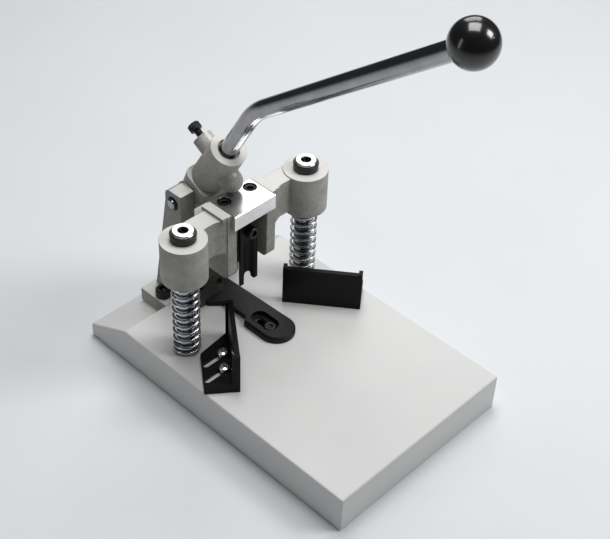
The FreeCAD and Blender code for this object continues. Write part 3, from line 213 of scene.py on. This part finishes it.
def mixed(finish, factor, first, second):
    """The first colour where the factor is 0 and the second where it is 1."""
    first_socket, second_socket, colour_output = 6, 7, 2
    values = {0: factor, first_socket: first, second_socket: second}
    return finish.node("ShaderNodeMix", {"data_type": "RGBA"}, values, colour_output)


print("a grain of 1 mm needs a noise scale of", round(1.0 / MM))

# %% [markdown]
# ## Edges, faces and relief
#
# Every real edge is a little round and a little worn. The Bevel node bends the surface's
# direction near an edge as a small radius would, without a change to the mesh, and where
# that bent direction and the plain one disagree there is an edge. Relief finer than a
# tenth of a millimetre is a Bump node: cut into the mesh it would cost millions of faces.

# %% Rounded edges, edge masks and bumps
FULL_WEAR_TURN = 0.22
FIRST_WEAR_TURN = 0.01


def rounded(finish, radius):
    """The surface's direction as if every edge had that radius."""
    return finish.node("ShaderNodeBevel", {"samples": 4}, {"Radius": radius}, "Normal")


def edge_mask(finish, soft_normal):
    """1 on a sharp edge and 0 on a flat face."""
    plain = finish.node("ShaderNodeNewGeometry", {}, {}, "Normal")
    alike = vector_math(finish, "DOT_PRODUCT", soft_normal, plain)
    return (1.0 - alike).between(FIRST_WEAR_TURN, FULL_WEAR_TURN)


def facing(finish, direction):
    """How far the surface faces a direction, in the piece's own frame, from -1 to 1."""
    own_normal = finish.node("ShaderNodeTexCoord", {}, {}, "Normal")
    return vector_math(finish, "DOT_PRODUCT", own_normal, direction)


def raised(finish, height, depth, normal=None):
    """A Bump node: height from 0 to 1 stands for that depth in metres."""
    values = {"Height": height, "Distance": depth, "Strength": 1.0}
    if normal is not None:
        values["Normal"] = normal
    return finish.node("ShaderNodeBump", {}, values, "Normal")


print("an edge counts as fully worn once it has turned by", FULL_WEAR_TURN)

# %% [markdown]
# ## The painted base
#
# The base is a thick plate with a smooth light grey paint. Sprayed paint has a faint
# orange peel, a slow drift in tone, and small chips where the corners were knocked, so
# the recipe has a broad noise for tone, a fine one for the peel and an edge mask that is
# broken up by noise for the chips. Everything below the plate's top and near the pit
# behind the anvil screw is painted nearly black, as painted shade in that deep hollow.

# %% The base's paint
BASE_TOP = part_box("base_plate")[1].z
PIT_BEHIND_SCREW = Vector((0.0, 7 * MM, 0.0))
PIT_MIDDLE = (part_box("anvil_screw")[0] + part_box("anvil_screw")[1]) / 2 + PIT_BEHIND_SCREW
PIT_REACH = 13 * MM


def pit_painted_shade(finish):
    """Painted shade: 1 inside the pit and 0 on the rest of the base."""
    from_pit = vector_math(finish, "DISTANCE", own_place(finish), PIT_MIDDLE)
    sunk = 1.0 - along(finish, "Z").between(BASE_TOP - 0.5 * MM, BASE_TOP - 0.2 * MM)
    return (1.0 - from_pit.between(PIT_REACH - MM, PIT_REACH + MM)) * sunk


def base_paint():
    finish = Finish("base paint", Specular_IOR_Level=0.45, Coat_Roughness=0.3)
    soft = rounded(finish, 0.9 * MM)
    drift = grain(finish, 60 * MM, detail=2.0)
    speck = grain(finish, 0.9 * MM, detail=2.0)
    chips = (edge_mask(finish, soft) * grain(finish, 3 * MM, detail=4.0)).between(0.5, 0.58)
    tone = mixed(finish, drift, shade(0.60, 0.602, 0.595), shade(0.67, 0.672, 0.66))
    tone = mixed(finish, speck.between(0.66, 0.72) * 0.25, tone, shade(0.42))
    tone = mixed(finish, chips * 0.6, tone, shade(0.35, 0.35, 0.34))
    # The pit is painted nearly black: painted shade in its hollow.
    finish.set("Base Color", mixed(finish, pit_painted_shade(finish), tone, shade(0.008)))
    finish.set("Roughness", 0.36 + grain(finish, 9 * MM) * 0.14)
    peel = grain(finish, 1.6 * MM, detail=2.0)
    finish.set("Normal", raised(finish, peel - chips * 0.8, 0.012 * MM, soft))
    return finish


FINISHES = {"base_paint": base_paint()}
show(FINISHES["base_paint"])

# %% [markdown]
# ## The painted castings
#
# The column, the crosshead and the lever's hub are castings. Sand leaves a lumpy skin
# that paint softens but doesn't hide. Where a face was machined after casting, such as
# the tops of the bosses and the mouth of the hub, it is flat, finer and lighter. The
# recipe tells the two apart by the direction that a face looks in. The hub gets its own
# copy, because its machined mouth leans forward with the handle.

# %% The castings' paint
UP = (0.0, 0.0, 1.0)
HUB_LEAN = math.radians(30.5)
HUB_AXIS = (0.0, -math.sin(HUB_LEAN), math.cos(HUB_LEAN))
MIDDLE_BAND_HALF = 40 * MM
MIDDLE_FADE_HALF = 47 * MM


def casting_paint(name, machined_way, middle_darkening):
    """Middle darkening makes the skin darker and more speckled near the middle plane."""
    finish = Finish(name, Specular_IOR_Level=0.35)
    soft = rounded(finish, 1.1 * MM)
    machined = facing(finish, machined_way).between(0.975, 0.99)
    lumps = grain(finish, 6 * MM, detail=3.0)
    sand = grain(finish, 1.1 * MM, detail=5.0, rough=0.7)
    drift = grain(finish, 22 * MM, detail=3.0)
    middle_band = (1.0 - abs(along(finish, "X")).between(MIDDLE_BAND_HALF, MIDDLE_FADE_HALF)) * middle_darkening
    dirt = sand.between(0.50, 0.66) * 0.75 + lumps.between(0.5, 0.75) * 0.35
    dirt = (dirt + middle_band * (0.25 + sand.between(0.36, 0.56) * 0.75)).clamped()
    cast = mixed(finish, drift.between(0.3, 0.7), shade(0.36, 0.35, 0.325), shade(0.47, 0.46, 0.43))
    cast = mixed(finish, dirt * 0.75, cast, shade(0.20, 0.195, 0.18))
    bright = mixed(finish, drift, shade(0.60, 0.595, 0.57), shade(0.68, 0.675, 0.65))
    bright = mixed(finish, sand.between(0.58, 0.70) * 0.3, bright, shade(0.42, 0.41, 0.39))
    finish.set("Base Color", mixed(finish, machined, cast, bright))
    finish.set("Roughness", 0.55 + sand * 0.2 - machined * 0.14)
    height = (lumps * 2.4 + sand * 1.3) * (1.0 - machined * 0.85)
    finish.set("Normal", raised(finish, height, 0.16 * MM, soft))
    return finish


FINISHES["casting_paint"] = casting_paint("casting paint", UP, 0.55)
SPECIAL = {"lever_hub": casting_paint("hub paint", HUB_AXIS, 0.0)}
show(FINISHES["casting_paint"], SPECIAL["lever_hub"])

# %% [markdown]
# ## Bright steel, bronze and brass
#
# The polished handle, the ground posts, the ground plate under the nose and the plated
# springs and screws differ less in colour than in the fine lines of their last cut. Each
# recipe squeezes its noise along the direction of those lines and adds a little of it to
# roughness and height. Anisotropic gloss could stand for the lines too, but noise also
# shows them up close. Turned pieces have lines all ways, so their noise isn't squeezed.

# %% The bright metals
DULL_SHARE = 0.82
ALONG_ROD = (1.0, 0.12, 0.12)
ROUND_POST = (0.2, 0.2, 1.0)
ACROSS_PLATE = (0.08, 1.0, 1.0)
ALL_WAYS = (1.0, 1.0, 1.0)


def bright_metal(name, tone, roughness, line_size, squeeze, line_depth):
    finish = Finish(name, Metallic=1.0)
    soft = rounded(finish, 0.3 * MM)
    lines = grain(finish, line_size, detail=4.0, place=stretched(finish, squeeze))
    cloud = grain(finish, 14 * MM, detail=3.0)
    dull = [part * DULL_SHARE for part in tone]
    finish.set("Base Color", mixed(finish, cloud.between(0.3, 0.8), shade(*dull), shade(*tone)))
    finish.set("Roughness", roughness + lines * 0.10 + cloud * 0.06)
    finish.set("Normal", raised(finish, lines, line_depth, soft))
    return finish


def turned_metal(name, tone, roughness, line_size):
    return bright_metal(name, tone, roughness, line_size, ALL_WAYS, 0.006 * MM)


BRIGHT_METALS = {
    "polished_steel": bright_metal("polished steel", (0.40, 0.40, 0.41), 0.04, 1.2 * MM,
                                   ALONG_ROD, 0.012 * MM),
    "ground_steel": bright_metal("ground steel", (0.40, 0.42, 0.45), 0.08, 0.5 * MM,
                                 ROUND_POST, 0.004 * MM),
    "plate_steel": bright_metal("ground plate steel", (0.78, 0.78, 0.78), 0.16, 0.7 * MM,
                                ACROSS_PLATE, 0.014 * MM),
    "spring_wire": turned_metal("spring wire", (0.80, 0.81, 0.82), 0.12, 1.0 * MM),
    "zinc_steel": turned_metal("zinc steel", (0.70, 0.71, 0.70), 0.16, 0.5 * MM),
    "bronze": turned_metal("bronze", (0.60, 0.40, 0.20), 0.25, 0.4 * MM),
    "insert_brass": turned_metal("brass", (0.72, 0.53, 0.26), 0.22, 0.4 * MM),
}
FINISHES.update(BRIGHT_METALS)
show(*BRIGHT_METALS.values())

# %% [markdown]
# ## Black steel and black paint
#
# Blackened steel is a thin oxide that keeps the metal's sheen and rubs off at the edges,
# while the fences are painted, so they have no metal in them at all. One recipe covers
# both: its tone, its bare edge colour and how metallic it is come in as values. Below the
# anvil bar's top the same recipe is darker: painted shade on the bar's sides and in its
# slot.

# %% The dark metals
BAR_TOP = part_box("anvil_bar")[1].z
UNSHADED_SKIN = 0.2 * MM
SHADE_FADE_SKIN = 0.3 * MM


def tinted(tone, share):
    return shade(*[part * share for part in tone])


def dark_metal(name, tone, bare, roughness, metallic, gloss=0.5, shaded_below=None):
    finish = Finish(name, Specular_IOR_Level=gloss)
    soft = rounded(finish, 0.35 * MM)
    cloud = grain(finish, 6 * MM, detail=4.0)
    scuff = grain(finish, 1.5 * MM, detail=4.0, place=stretched(finish, (1.0, 0.3, 1.0)))
    worn = (edge_mask(finish, soft) * cloud).between(0.35, 0.62) * 0.5
    base = mixed(finish, cloud, tinted(tone, 0.75), shade(*tone))
    base = mixed(finish, scuff.between(0.58, 0.8) * 0.3, base, tinted(tone, 1.8))
    # Below that height the colour goes towards black: painted shade on the sides and in the slot.
    if shaded_below is not None:
        low = 1.0 - along(finish, "Z").between(shaded_below - SHADE_FADE_SKIN, shaded_below)
        base = mixed(finish, low * 0.85, base, shade(0.004))
    finish.set("Base Color", mixed(finish, worn, base, shade(*bare)))
    finish.set("Metallic", metallic + worn * (1.0 - metallic))
    finish.set("Roughness", roughness + cloud * 0.12 + scuff * 0.06)
    finish.set("Normal", raised(finish, grain(finish, 0.7 * MM), 0.012 * MM, soft))
    return finish


DARK_METALS = {
    "black_oxide": dark_metal("black oxide", (0.012, 0.012, 0.013), (0.30, 0.30, 0.30), 0.30, 0.3),
    "tool_steel": dark_metal("blackened tool steel", (0.019, 0.020, 0.019), (0.30, 0.30, 0.30),
                             0.42, 0.1, gloss=0.28, shaded_below=BAR_TOP - UNSHADED_SKIN),
    "fence_black": dark_metal("fence black", (0.004, 0.004, 0.004), (0.05, 0.05, 0.05),
                              0.32, 0.0, gloss=0.14),
}
FINISHES.update(DARK_METALS)
SPECIAL["corner_blade"] = dark_metal("blade black", (0.004, 0.004, 0.004), (0.10, 0.10, 0.10),
                                     0.34, 0.0, gloss=0.14)
# The guide block's dark brownish grey is painted shade: the tone of the painted column in the deep shade under the
# crosshead.
SPECIAL["guide_block"] = dark_metal("guide block painted shade", (0.085, 0.083, 0.075), (0.20, 0.20, 0.19),
                                    0.50, 0.0, gloss=0.3)
show(*DARK_METALS.values(), SPECIAL["corner_blade"], SPECIAL["guide_block"])

# %% [markdown]
# ## The knob and the buffers
#
# The ball knob is moulded phenolic, black all through and polished on its skin, with the
# faint waviness of a moulding, so a thin coat lies over a slightly uneven base. The
# buffers are matt rubber that holds dust, so a fine noise lifts both their tone and their
# roughness.

# %% The moulded pieces
def knob_plastic():
    finish = Finish("knob plastic", Specular_IOR_Level=0.55, Coat_Weight=0.6, Coat_Roughness=0.08)
    wave = grain(finish, 7 * MM, detail=1.0)
    pits = grain(finish, 0.6 * MM, detail=2.0)
    finish.set("Base Color", mixed(finish, pits.between(0.4, 0.8), shade(0.008), shade(0.014)))
    finish.set("Roughness", 0.16 + pits * 0.12)
    finish.set("Normal", raised(finish, wave + pits * 0.06, 0.02 * MM))
    return finish


def buffer_rubber():
    finish = Finish("buffer rubber", Specular_IOR_Level=0.5)
    dust = grain(finish, 2 * MM, detail=5.0)
    finish.set("Base Color", mixed(finish, dust.between(0.45, 0.8), shade(0.008), shade(0.03)))
    finish.set("Roughness", 0.34 + dust * 0.3)
    finish.set("Normal", raised(finish, grain(finish, 0.5 * MM), 0.02 * MM))
    return finish


FINISHES["knob_plastic"] = knob_plastic()
FINISHES["buffer_rubber"] = buffer_rubber()
show(FINISHES["knob_plastic"], FINISHES["buffer_rubber"])

# %% [markdown]
# ## Dressing the CAD pieces
#
# Each node already has the right shape and place. Its material slot in the record says
# what it is made of, so the table of finishes dresses them all by that slot. Three pieces
# differ from others that share their slot, and they are looked up by their own names.

# %% Give every CAD piece its finish
for part in frame["record"]["subparts"]:
    finish = SPECIAL.get(part["node"]) or FINISHES[part["material_slot"]]
    mesh = NODES[part["node"]].data
    mesh.materials.clear()
    mesh.materials.append(finish.material)

# %% [markdown]
# ## Meshes from plain sums
#
# Springs and screws are shapes that a short formula describes exactly, so their points
# are worked out in Python and handed to Blender as one mesh. A curve with a round bevel
# would give the same wire, but a mesh has its closed ends from the start and is what the
# exported model holds anyway.

# %% A mesh piece and a tube along a row of centres
def mesh_object(name, points, faces, smooth=True):
    mesh = bpy.data.meshes.new(name)
    mesh.from_pydata(points, [], faces)
    mesh.update()
    for face in mesh.polygons:
        face.use_smooth = smooth
    piece = bpy.data.objects.new(name, mesh)
    bpy.context.scene.collection.objects.link(piece)
    return piece


def on_circle(angle, radius, height=0.0):
    return Vector((radius * math.cos(angle), radius * math.sin(angle), height))


def ring_of_faces(first, count):
    """The faces between one ring of points and the next ring after it."""
    faces = []
    for step in range(count):
        following = (step + 1) % count
        faces.append((first + step, first + following, first + count + following, first + count + step))
    return faces


def swept_tube(name, centres, radius, sides):
    """A closed round tube along a row of centres."""
    points, faces = [], []
    for place, centre in enumerate(centres):
        before = centres[max(place - 1, 0)]
        after = centres[min(place + 1, len(centres) - 1)]
        tangent = (after - before).normalized()
        across = tangent.cross(Vector(UP)).normalized()
        upward = across.cross(tangent)
        for side in range(sides):
            spot = on_circle(2 * math.pi * side / sides, radius)
            points.append(centre + across * spot.x + upward * spot.y)
    for ring in range(len(centres) - 1):
        faces.extend(ring_of_faces(ring * sides, sides))
    faces.append(tuple(range(sides))[::-1])
    faces.append(tuple(range(len(points) - sides, len(points))))
    return mesh_object(name, points, faces)


print("a band between two rings of four points has", len(ring_of_faces(0, 4)), "faces")

# %% [markdown]
# ## The return springs
#
# A compression spring is a wire wound to a helix whose last turn at each end is closed
# up, so that it stands flat. The height of the wire is worked out turn by turn: nearly a
# wire's thickness for the closed turns, and an even pitch for the open ones between them.
# The spring is its own piece, fixed to the machine's body; the real one shortens as the
# crosshead comes down.

# %% Wind the springs
SPRING_WIRE = 2.2 * MM
OPEN_TURNS = 9.2
CLOSED_TURNS = 1.0
TOTAL_TURNS = OPEN_TURNS + 2 * CLOSED_TURNS
CLOSED_PITCH = SPRING_WIRE * 1.04
STEPS_PER_TURN = 40
WIRE_SIDES = 14


def helix_height(turn, low, high):
    """The height of the wire's centre after so many turns."""
    first = low + SPRING_WIRE / 2
    last = high - SPRING_WIRE / 2
    closed = CLOSED_TURNS * CLOSED_PITCH
    if turn < CLOSED_TURNS:
        return first + turn * CLOSED_PITCH
    if turn > TOTAL_TURNS - CLOSED_TURNS:
        return last - (TOTAL_TURNS - turn) * CLOSED_PITCH
    open_pitch = (last - first - 2 * closed) / OPEN_TURNS
    return first + closed + (turn - CLOSED_TURNS) * open_pitch


def wind_spring(name, node):
    low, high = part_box(node)
    axis = Vector(((low.x + high.x) / 2, (low.y + high.y) / 2, 0.0))
    coil_radius = (high.x - low.x - SPRING_WIRE) / 2
    centres = []
    for step in range(int(TOTAL_TURNS * STEPS_PER_TURN) + 1):
        turn = step / STEPS_PER_TURN
        height = helix_height(turn, low.z, high.z)
        centres.append(axis + on_circle(2 * math.pi * turn, coil_radius, height))
    spring = swept_tube(name, centres, SPRING_WIRE / 2, WIRE_SIDES)
    spring.data.materials.append(FINISHES["spring_wire"].material)
    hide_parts(node)
    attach(spring, "machine")
    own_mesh(spring)
    return spring


for side in ("left", "right"):
    spring = wind_spring(f"return_spring_{side}", f"spring_{side}")
    print(spring.name, len(spring.data.vertices), "points")

# %% [markdown]
# ## The rings of a socket screw
#
# A socket head screw is a turned blank with a knurled side, a bevelled rim and a pressed
# hexagon. All of that is one grid of points: rings that run from the underside over the
# rim, down the socket and to its middle, where the radius of each ring is a rule of the
# angle. A thread is the same grid with a radius that also depends on the height.

# %% Rules for the radius of a ring
KNURLS = 48
THREAD_DEPTH_SHARE = 0.58


def round_ring(radius):
    return lambda angle: radius


def knurled_ring(radius, depth):
    return lambda angle: radius - depth * (0.5 + 0.5 * math.cos(KNURLS * angle)) ** 2


def hexagon_ring(across):
    """The radius of a hexagon with that distance across its flats."""
    sixth = math.pi / 3
    return lambda angle: across / 2 / math.cos(angle % sixth - sixth / 2)


def threaded_ring(radius, pitch, height):
    def rule(angle):
        phase = (height / pitch - angle / (2 * math.pi)) % 1.0
        return radius - THREAD_DEPTH_SHARE * pitch * abs(2 * phase - 1)
    return rule


print("a 5 mm hexagon is", round(2 * hexagon_ring(5)(0), 2), "mm over its corners")

# %% [markdown]
# ## Heads and threads
#
# Metric sizes are written once, as the maker of a screw would order them: how wide and
# high the head is, the hexagon's width across its flats and its depth, and how deep the
# knurl is cut. The head's rings start at its underside and the thread's rings end there,
# so the two lists join into one screw.

# %% Heads and threads as stacks of rings
Head = namedtuple("Head", "wide high socket socket_deep knurl")
Thread = namedtuple("Thread", "wide pitch")

M4_HEAD = Head(7 * MM, 4 * MM, 3 * MM, 2 * MM, 0.15 * MM)
M6_HEAD = Head(10 * MM, 6 * MM, 5 * MM, 3 * MM, 0.22 * MM)
M6_LOW_HEAD = Head(10 * MM, 2.2 * MM, 4 * MM, 1.4 * MM, 0.12 * MM)
M8_HEAD = Head(13 * MM, 8 * MM, 6 * MM, 4 * MM, 0.28 * MM)
M8_CAP_HEAD = Head(17.6 * MM, 2.2 * MM, 6.4 * MM, 4.4 * MM, 0.0)
M4 = Thread(4 * MM, 0.7 * MM)
M6 = Thread(6 * MM, 1.0 * MM)
M8 = Thread(8 * MM, 1.25 * MM)
THREAD_STEPS = 10


def side_rings(head):
    """Pairs of height and rule, from a head's underside over its knurled side to its top."""
    radius = head.wide / 2
    bevel = min(0.09 * head.wide, 0.4 * head.high)
    knurl_start = 0.12 * head.high
    knurl_end = head.high - bevel
    return [
        (0.0, round_ring(radius - 0.04 * head.wide)),
        (knurl_start * 0.5, round_ring(radius - head.knurl)),
        (knurl_start, knurled_ring(radius, head.knurl)),
        (knurl_end, knurled_ring(radius, head.knurl)),
        (knurl_end + 0.15 * bevel, round_ring(radius - head.knurl)),
        (head.high - 0.2 * bevel, round_ring(radius - 0.75 * bevel)),
        (head.high, round_ring(radius - bevel)),
    ]


def socket_rings(head):
    """Pairs of height and rule, from a socket's bevelled mouth to the middle of its floor."""
    mouth_wide = 0.66 * head.socket
    bevel_low = head.high - 0.06 * head.wide
    floor = head.high - head.socket_deep
    return [
        (head.high, round_ring(mouth_wide)),
        (head.high - 0.04 * head.wide, hexagon_ring(head.socket * 1.01)),
        (bevel_low, hexagon_ring(head.socket)),
        (floor, hexagon_ring(head.socket)),
        (floor - 0.1 * head.socket, round_ring(0.3 * head.socket)),
    ]


def thread_rings(thread, long):
    """A thread from its tip up to the head, as pairs of height and rule."""
    radius = thread.wide / 2
    steps = int(long / thread.pitch * THREAD_STEPS)
    rings = [(-long - 0.1 * thread.wide, round_ring(radius * 0.7))]
    for step in range(steps + 1):
        height = -long + long * step / steps
        rings.append((height, threaded_ring(radius, thread.pitch, height)))
    return rings


print("an M6 head has", len(side_rings(M6_HEAD)), "rings outside and", len(socket_rings(M6_HEAD)),
      "in its socket, a 20 mm thread has", len(thread_rings(M6, 20 * MM)))

# %% [markdown]
# ## From rings to a screw
#
# The rings become one mesh that can hold the same screw at several places, because
# screws that do the same work are one node. The faces in the socket take the second
# material, blackened steel, as painted shade in the socket's hollow. Edges that turn by
# more than 32 degrees stay sharp, so the hexagon reads as pressed.

# %% Build screws from their rings
Screw = namedtuple("Screw", "name node body slot head thread long")
RING_POINTS = 144
SHARP_TURN = math.radians(32)


def screw_mesh(name, outside, socket, places, turn):
    """One mesh that holds the same screw at each of the places."""
    rings = outside + socket
    points, faces, in_socket = [], [], []
    for place in places:
        first = len(points)
        for height, rule in rings:
            for step in range(RING_POINTS):
                angle = 2 * math.pi * step / RING_POINTS
                points.append(place + turn @ on_circle(angle, rule(angle), height))
        for ring in range(len(rings) - 1):
            faces.extend(ring_of_faces(first + ring * RING_POINTS, RING_POINTS))
            in_socket.extend([ring >= len(outside)] * RING_POINTS)
        last = len(points) - RING_POINTS
        faces.append(tuple(range(first, first + RING_POINTS))[::-1])
        faces.append(tuple(range(last, last + RING_POINTS)))
        in_socket.extend((False, True))
    piece = mesh_object(name, points, faces)
    # The socket's faces take the second material, as painted shade in the hollow.
    for face, dark in zip(piece.data.polygons, in_socket):
        face.material_index = int(dark)
    piece.data.set_sharp_from_angle(angle=SHARP_TURN)
    return piece


def fit_screws(screw, places, turn):
    outside = thread_rings(screw.thread, screw.long) + side_rings(screw.head)
    piece = screw_mesh(screw.name, outside, socket_rings(screw.head), places, turn)
    piece.data.materials.append(FINISHES[screw.slot].material)
    # Blackened steel in the socket stands in for the shade in its hollow.
    piece.data.materials.append(FINISHES["black_oxide"].material)
    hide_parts(screw.node)
    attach(piece, screw.body)
    print(screw.name, len(piece.data.polygons), "faces")


print("a ring has", RING_POINTS, "points, so each knurl has", RING_POINTS // KNURLS)

# %% [markdown]
# ## The screws that stand square to the machine
#
# Most screws point straight down or straight back, so the box of their CAD node says
# where their heads are: two heads lie side by side at its two ends, and a single head
# lies in its middle. The post caps are low plated screws, the rest are blackened.

# %% Fit the upright and the forward facing screws
UPRIGHT = Matrix.Identity(3)
FACING_FRONT = Matrix.Rotation(math.radians(90), 3, "X")


def head_places(screw, turn):
    """Where the undersides of a node's one or two heads are."""
    low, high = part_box(screw.node)
    half = screw.head.wide / 2
    under = (low + high) / 2
    if turn is FACING_FRONT:
        under.y = low.y + screw.head.high
    else:
        under.z = high.z - screw.head.high
    if high.x - low.x < 3 * half:
        return [under]
    return [Vector((x, under.y, under.z)) for x in (low.x + half, high.x - half)]


UPRIGHT_SCREWS = (
    Screw("post_cap_left", "post_cap_screw_left", "machine", "zinc_steel",
          M8_CAP_HEAD, M8, 21 * MM),
    Screw("post_cap_right", "post_cap_screw_right", "machine", "zinc_steel",
          M8_CAP_HEAD, M8, 21 * MM),
    Screw("foot_socket_screws", "column_foot_screws", "machine", "black_oxide",
          M8_HEAD, M8, 24 * MM),
    Screw("plate_socket_screws", "pressure_plate_screws", "press_head", "black_oxide",
          M6_HEAD, M6, 17 * MM),
    Screw("anvil_socket_screw", "anvil_screw", "machine", "black_oxide",
          M6_LOW_HEAD, M6, 13 * MM),
)
FORWARD_SCREWS = (
    Screw("blade_socket_screw", "blade_screw", "press_head", "black_oxide",
          M6_HEAD, M6, 15 * MM),
    Screw("guide_block_socket_screws", "guide_block_screws", "machine", "black_oxide",
          M4_HEAD, M4, 14 * MM),
)

for screw in UPRIGHT_SCREWS:
    fit_screws(screw, head_places(screw, UPRIGHT), UPRIGHT)
for screw in FORWARD_SCREWS:
    fit_screws(screw, head_places(screw, FACING_FRONT), FACING_FRONT)

# %% [markdown]
# ## The clamp screw
#
# The screw that holds the handle sits in a lug behind the hub and is square to the
# leaning socket, so its box doesn't say how it is turned. It is placed from the pivot
# instead: so far up along the socket, so far out behind it, and turned with the lean.

# %% Fit the clamp screw, square to the leaning socket
PIVOT = Vector(JOINTS["lever_swing"]["pos_m"])
CLAMP_UP = 41.8 * MM
CLAMP_OUT = 30.0 * MM
LEAN_TURN = Matrix.Rotation(HUB_LEAN, 3, "X")
CLAMP_TURN = LEAN_TURN @ Matrix.Rotation(math.radians(-90), 3, "X")

clamp_screw = Screw("clamp_socket_screw", "handle_clamp_screw", "lever", "black_oxide",
                    M6_HEAD, M6, 22 * MM)
clamp_place = PIVOT + LEAN_TURN @ Vector((0.0, CLAMP_OUT, CLAMP_UP))
fit_screws(clamp_screw, [clamp_place], CLAMP_TURN)

# %% [markdown]
# ## The floor
#
# The machine stands on a plain pale floor that reaches so far that its edges lie well
# behind the machine and out of the lamps' reach. It is matt and drifts very slightly in
# tone, so that the shadows fall on something that looks like a tabletop. It lies a hair
# below the base's underside, because two faces at the same height would flicker.

# %% Build the floor
FLOOR_REACH = 4.0
FLOOR_DROP = 0.2 * MM


def pale_floor():
    finish = Finish("pale floor", Roughness=0.8, Specular_IOR_Level=0.2)
    tone = mixed(finish, grain(finish, 120 * MM), shade(0.70, 0.72, 0.74), shade(0.74, 0.76, 0.78))
    finish.set("Base Color", tone)
    return finish


signs = ((-1, -1), (1, -1), (1, 1), (-1, 1))
corners = [(x * FLOOR_REACH, y * FLOOR_REACH, -FLOOR_DROP) for x, y in signs]
floor = mesh_object("floor", corners, [(0, 1, 2, 3)], smooth=False)
floor.data.materials.append(pale_floor().material)
print("the floor is", 2 * FLOOR_REACH, "m wide")

# %% [markdown]
# ## The light
#
# Four softboxes light the machine. The one overhead gives the bright tops, and the one at
# the front right models the front faces. The one at the rear right is there for the
# pressure plate, because ground steel shows whatever stands opposite the eye. A narrow
# strip on the left gives the posts and springs an edge of light, but it is weak, so the
# left faces stay darker and the castings read as solid. The world round the lamps is
# nearly black, which keeps black steel black.

# %% Hang the lamps
AIM = Vector((0.0, 0.0, 0.12))
Softbox = namedtuple("Softbox", "name place width height watts")
SOFTBOXES = (
    Softbox("overhead", (0.15, 0.10, 1.45), 0.8, 0.8, 14.0),
    Softbox("front right", (0.75, -0.85, 1.15), 0.5, 0.5, 10.0),
    Softbox("rear right", (0.95, 0.80, 1.10), 0.9, 0.8, 6.0),
    Softbox("left strip", (-1.4, 0.5, 0.6), 0.25, 1.0, 1.4),
)

for softbox in SOFTBOXES:
    lamp = bpy.data.lights.new(softbox.name, "AREA")
    lamp.shape = "RECTANGLE"
    lamp.size = softbox.width
    lamp.size_y = softbox.height
    lamp.energy = softbox.watts
    holder = bpy.data.objects.new(softbox.name, lamp)
    holder.location = softbox.place
    holder.rotation_euler = (AIM - Vector(softbox.place)).to_track_quat("-Z", "Y").to_euler()
    bpy.context.scene.collection.objects.link(holder)
    print(softbox.name, "lamp of", softbox.watts, "W")

world = bpy.data.worlds.new("studio")
world.use_nodes = True
surroundings = world.node_tree.nodes["Background"]
surroundings.inputs["Color"].default_value = shade(0.80, 0.84, 0.88)
surroundings.inputs["Strength"].default_value = 0.05
bpy.context.scene.world = world
bpy.context.scene.view_settings.view_transform = "Standard"

# %% [markdown]
# ## The camera
#
# The camera stands in front and to the left, above the machine, as a person sees it who
# walks up to the bench. It is given by where it stands and by three angles: how far it is
# turned round the upright axis, how far it looks down, and a slight roll. Its matrix is
# built from those, because one matrix says all three without a choice of Euler order.

# %% Set the camera
CAMERA_PLACE = Vector((-0.5287, -0.5033, 0.7360))
TURN, TILT, ROLL = (math.radians(angle) for angle in (-47.186, 40.743, 2.479))
FOCAL_LENGTH_MM = 75.49
SENSOR_MM = 36.0

camera_data = bpy.data.cameras.new("camera")
camera_data.lens = FOCAL_LENGTH_MM
camera_data.sensor_width = SENSOR_MM
camera = bpy.data.objects.new("camera", camera_data)
back = Vector((math.sin(TURN) * math.cos(TILT), -math.cos(TURN) * math.cos(TILT), math.sin(TILT)))
right = Vector((math.cos(TURN), math.sin(TURN), 0.0))
above = back.cross(right)
rolled_right = right * math.cos(ROLL) + above * math.sin(ROLL)
rolled_above = above * math.cos(ROLL) - right * math.sin(ROLL)
facing_turn = Matrix((rolled_right, rolled_above, back)).transposed()
camera.matrix_world = Matrix.Translation(CAMERA_PLACE) @ facing_turn.to_4x4()
bpy.context.scene.collection.objects.link(camera)
bpy.context.scene.camera = camera
print("the camera stands", round((CAMERA_PLACE - AIM).length, 2), "m away")

# %% [markdown]
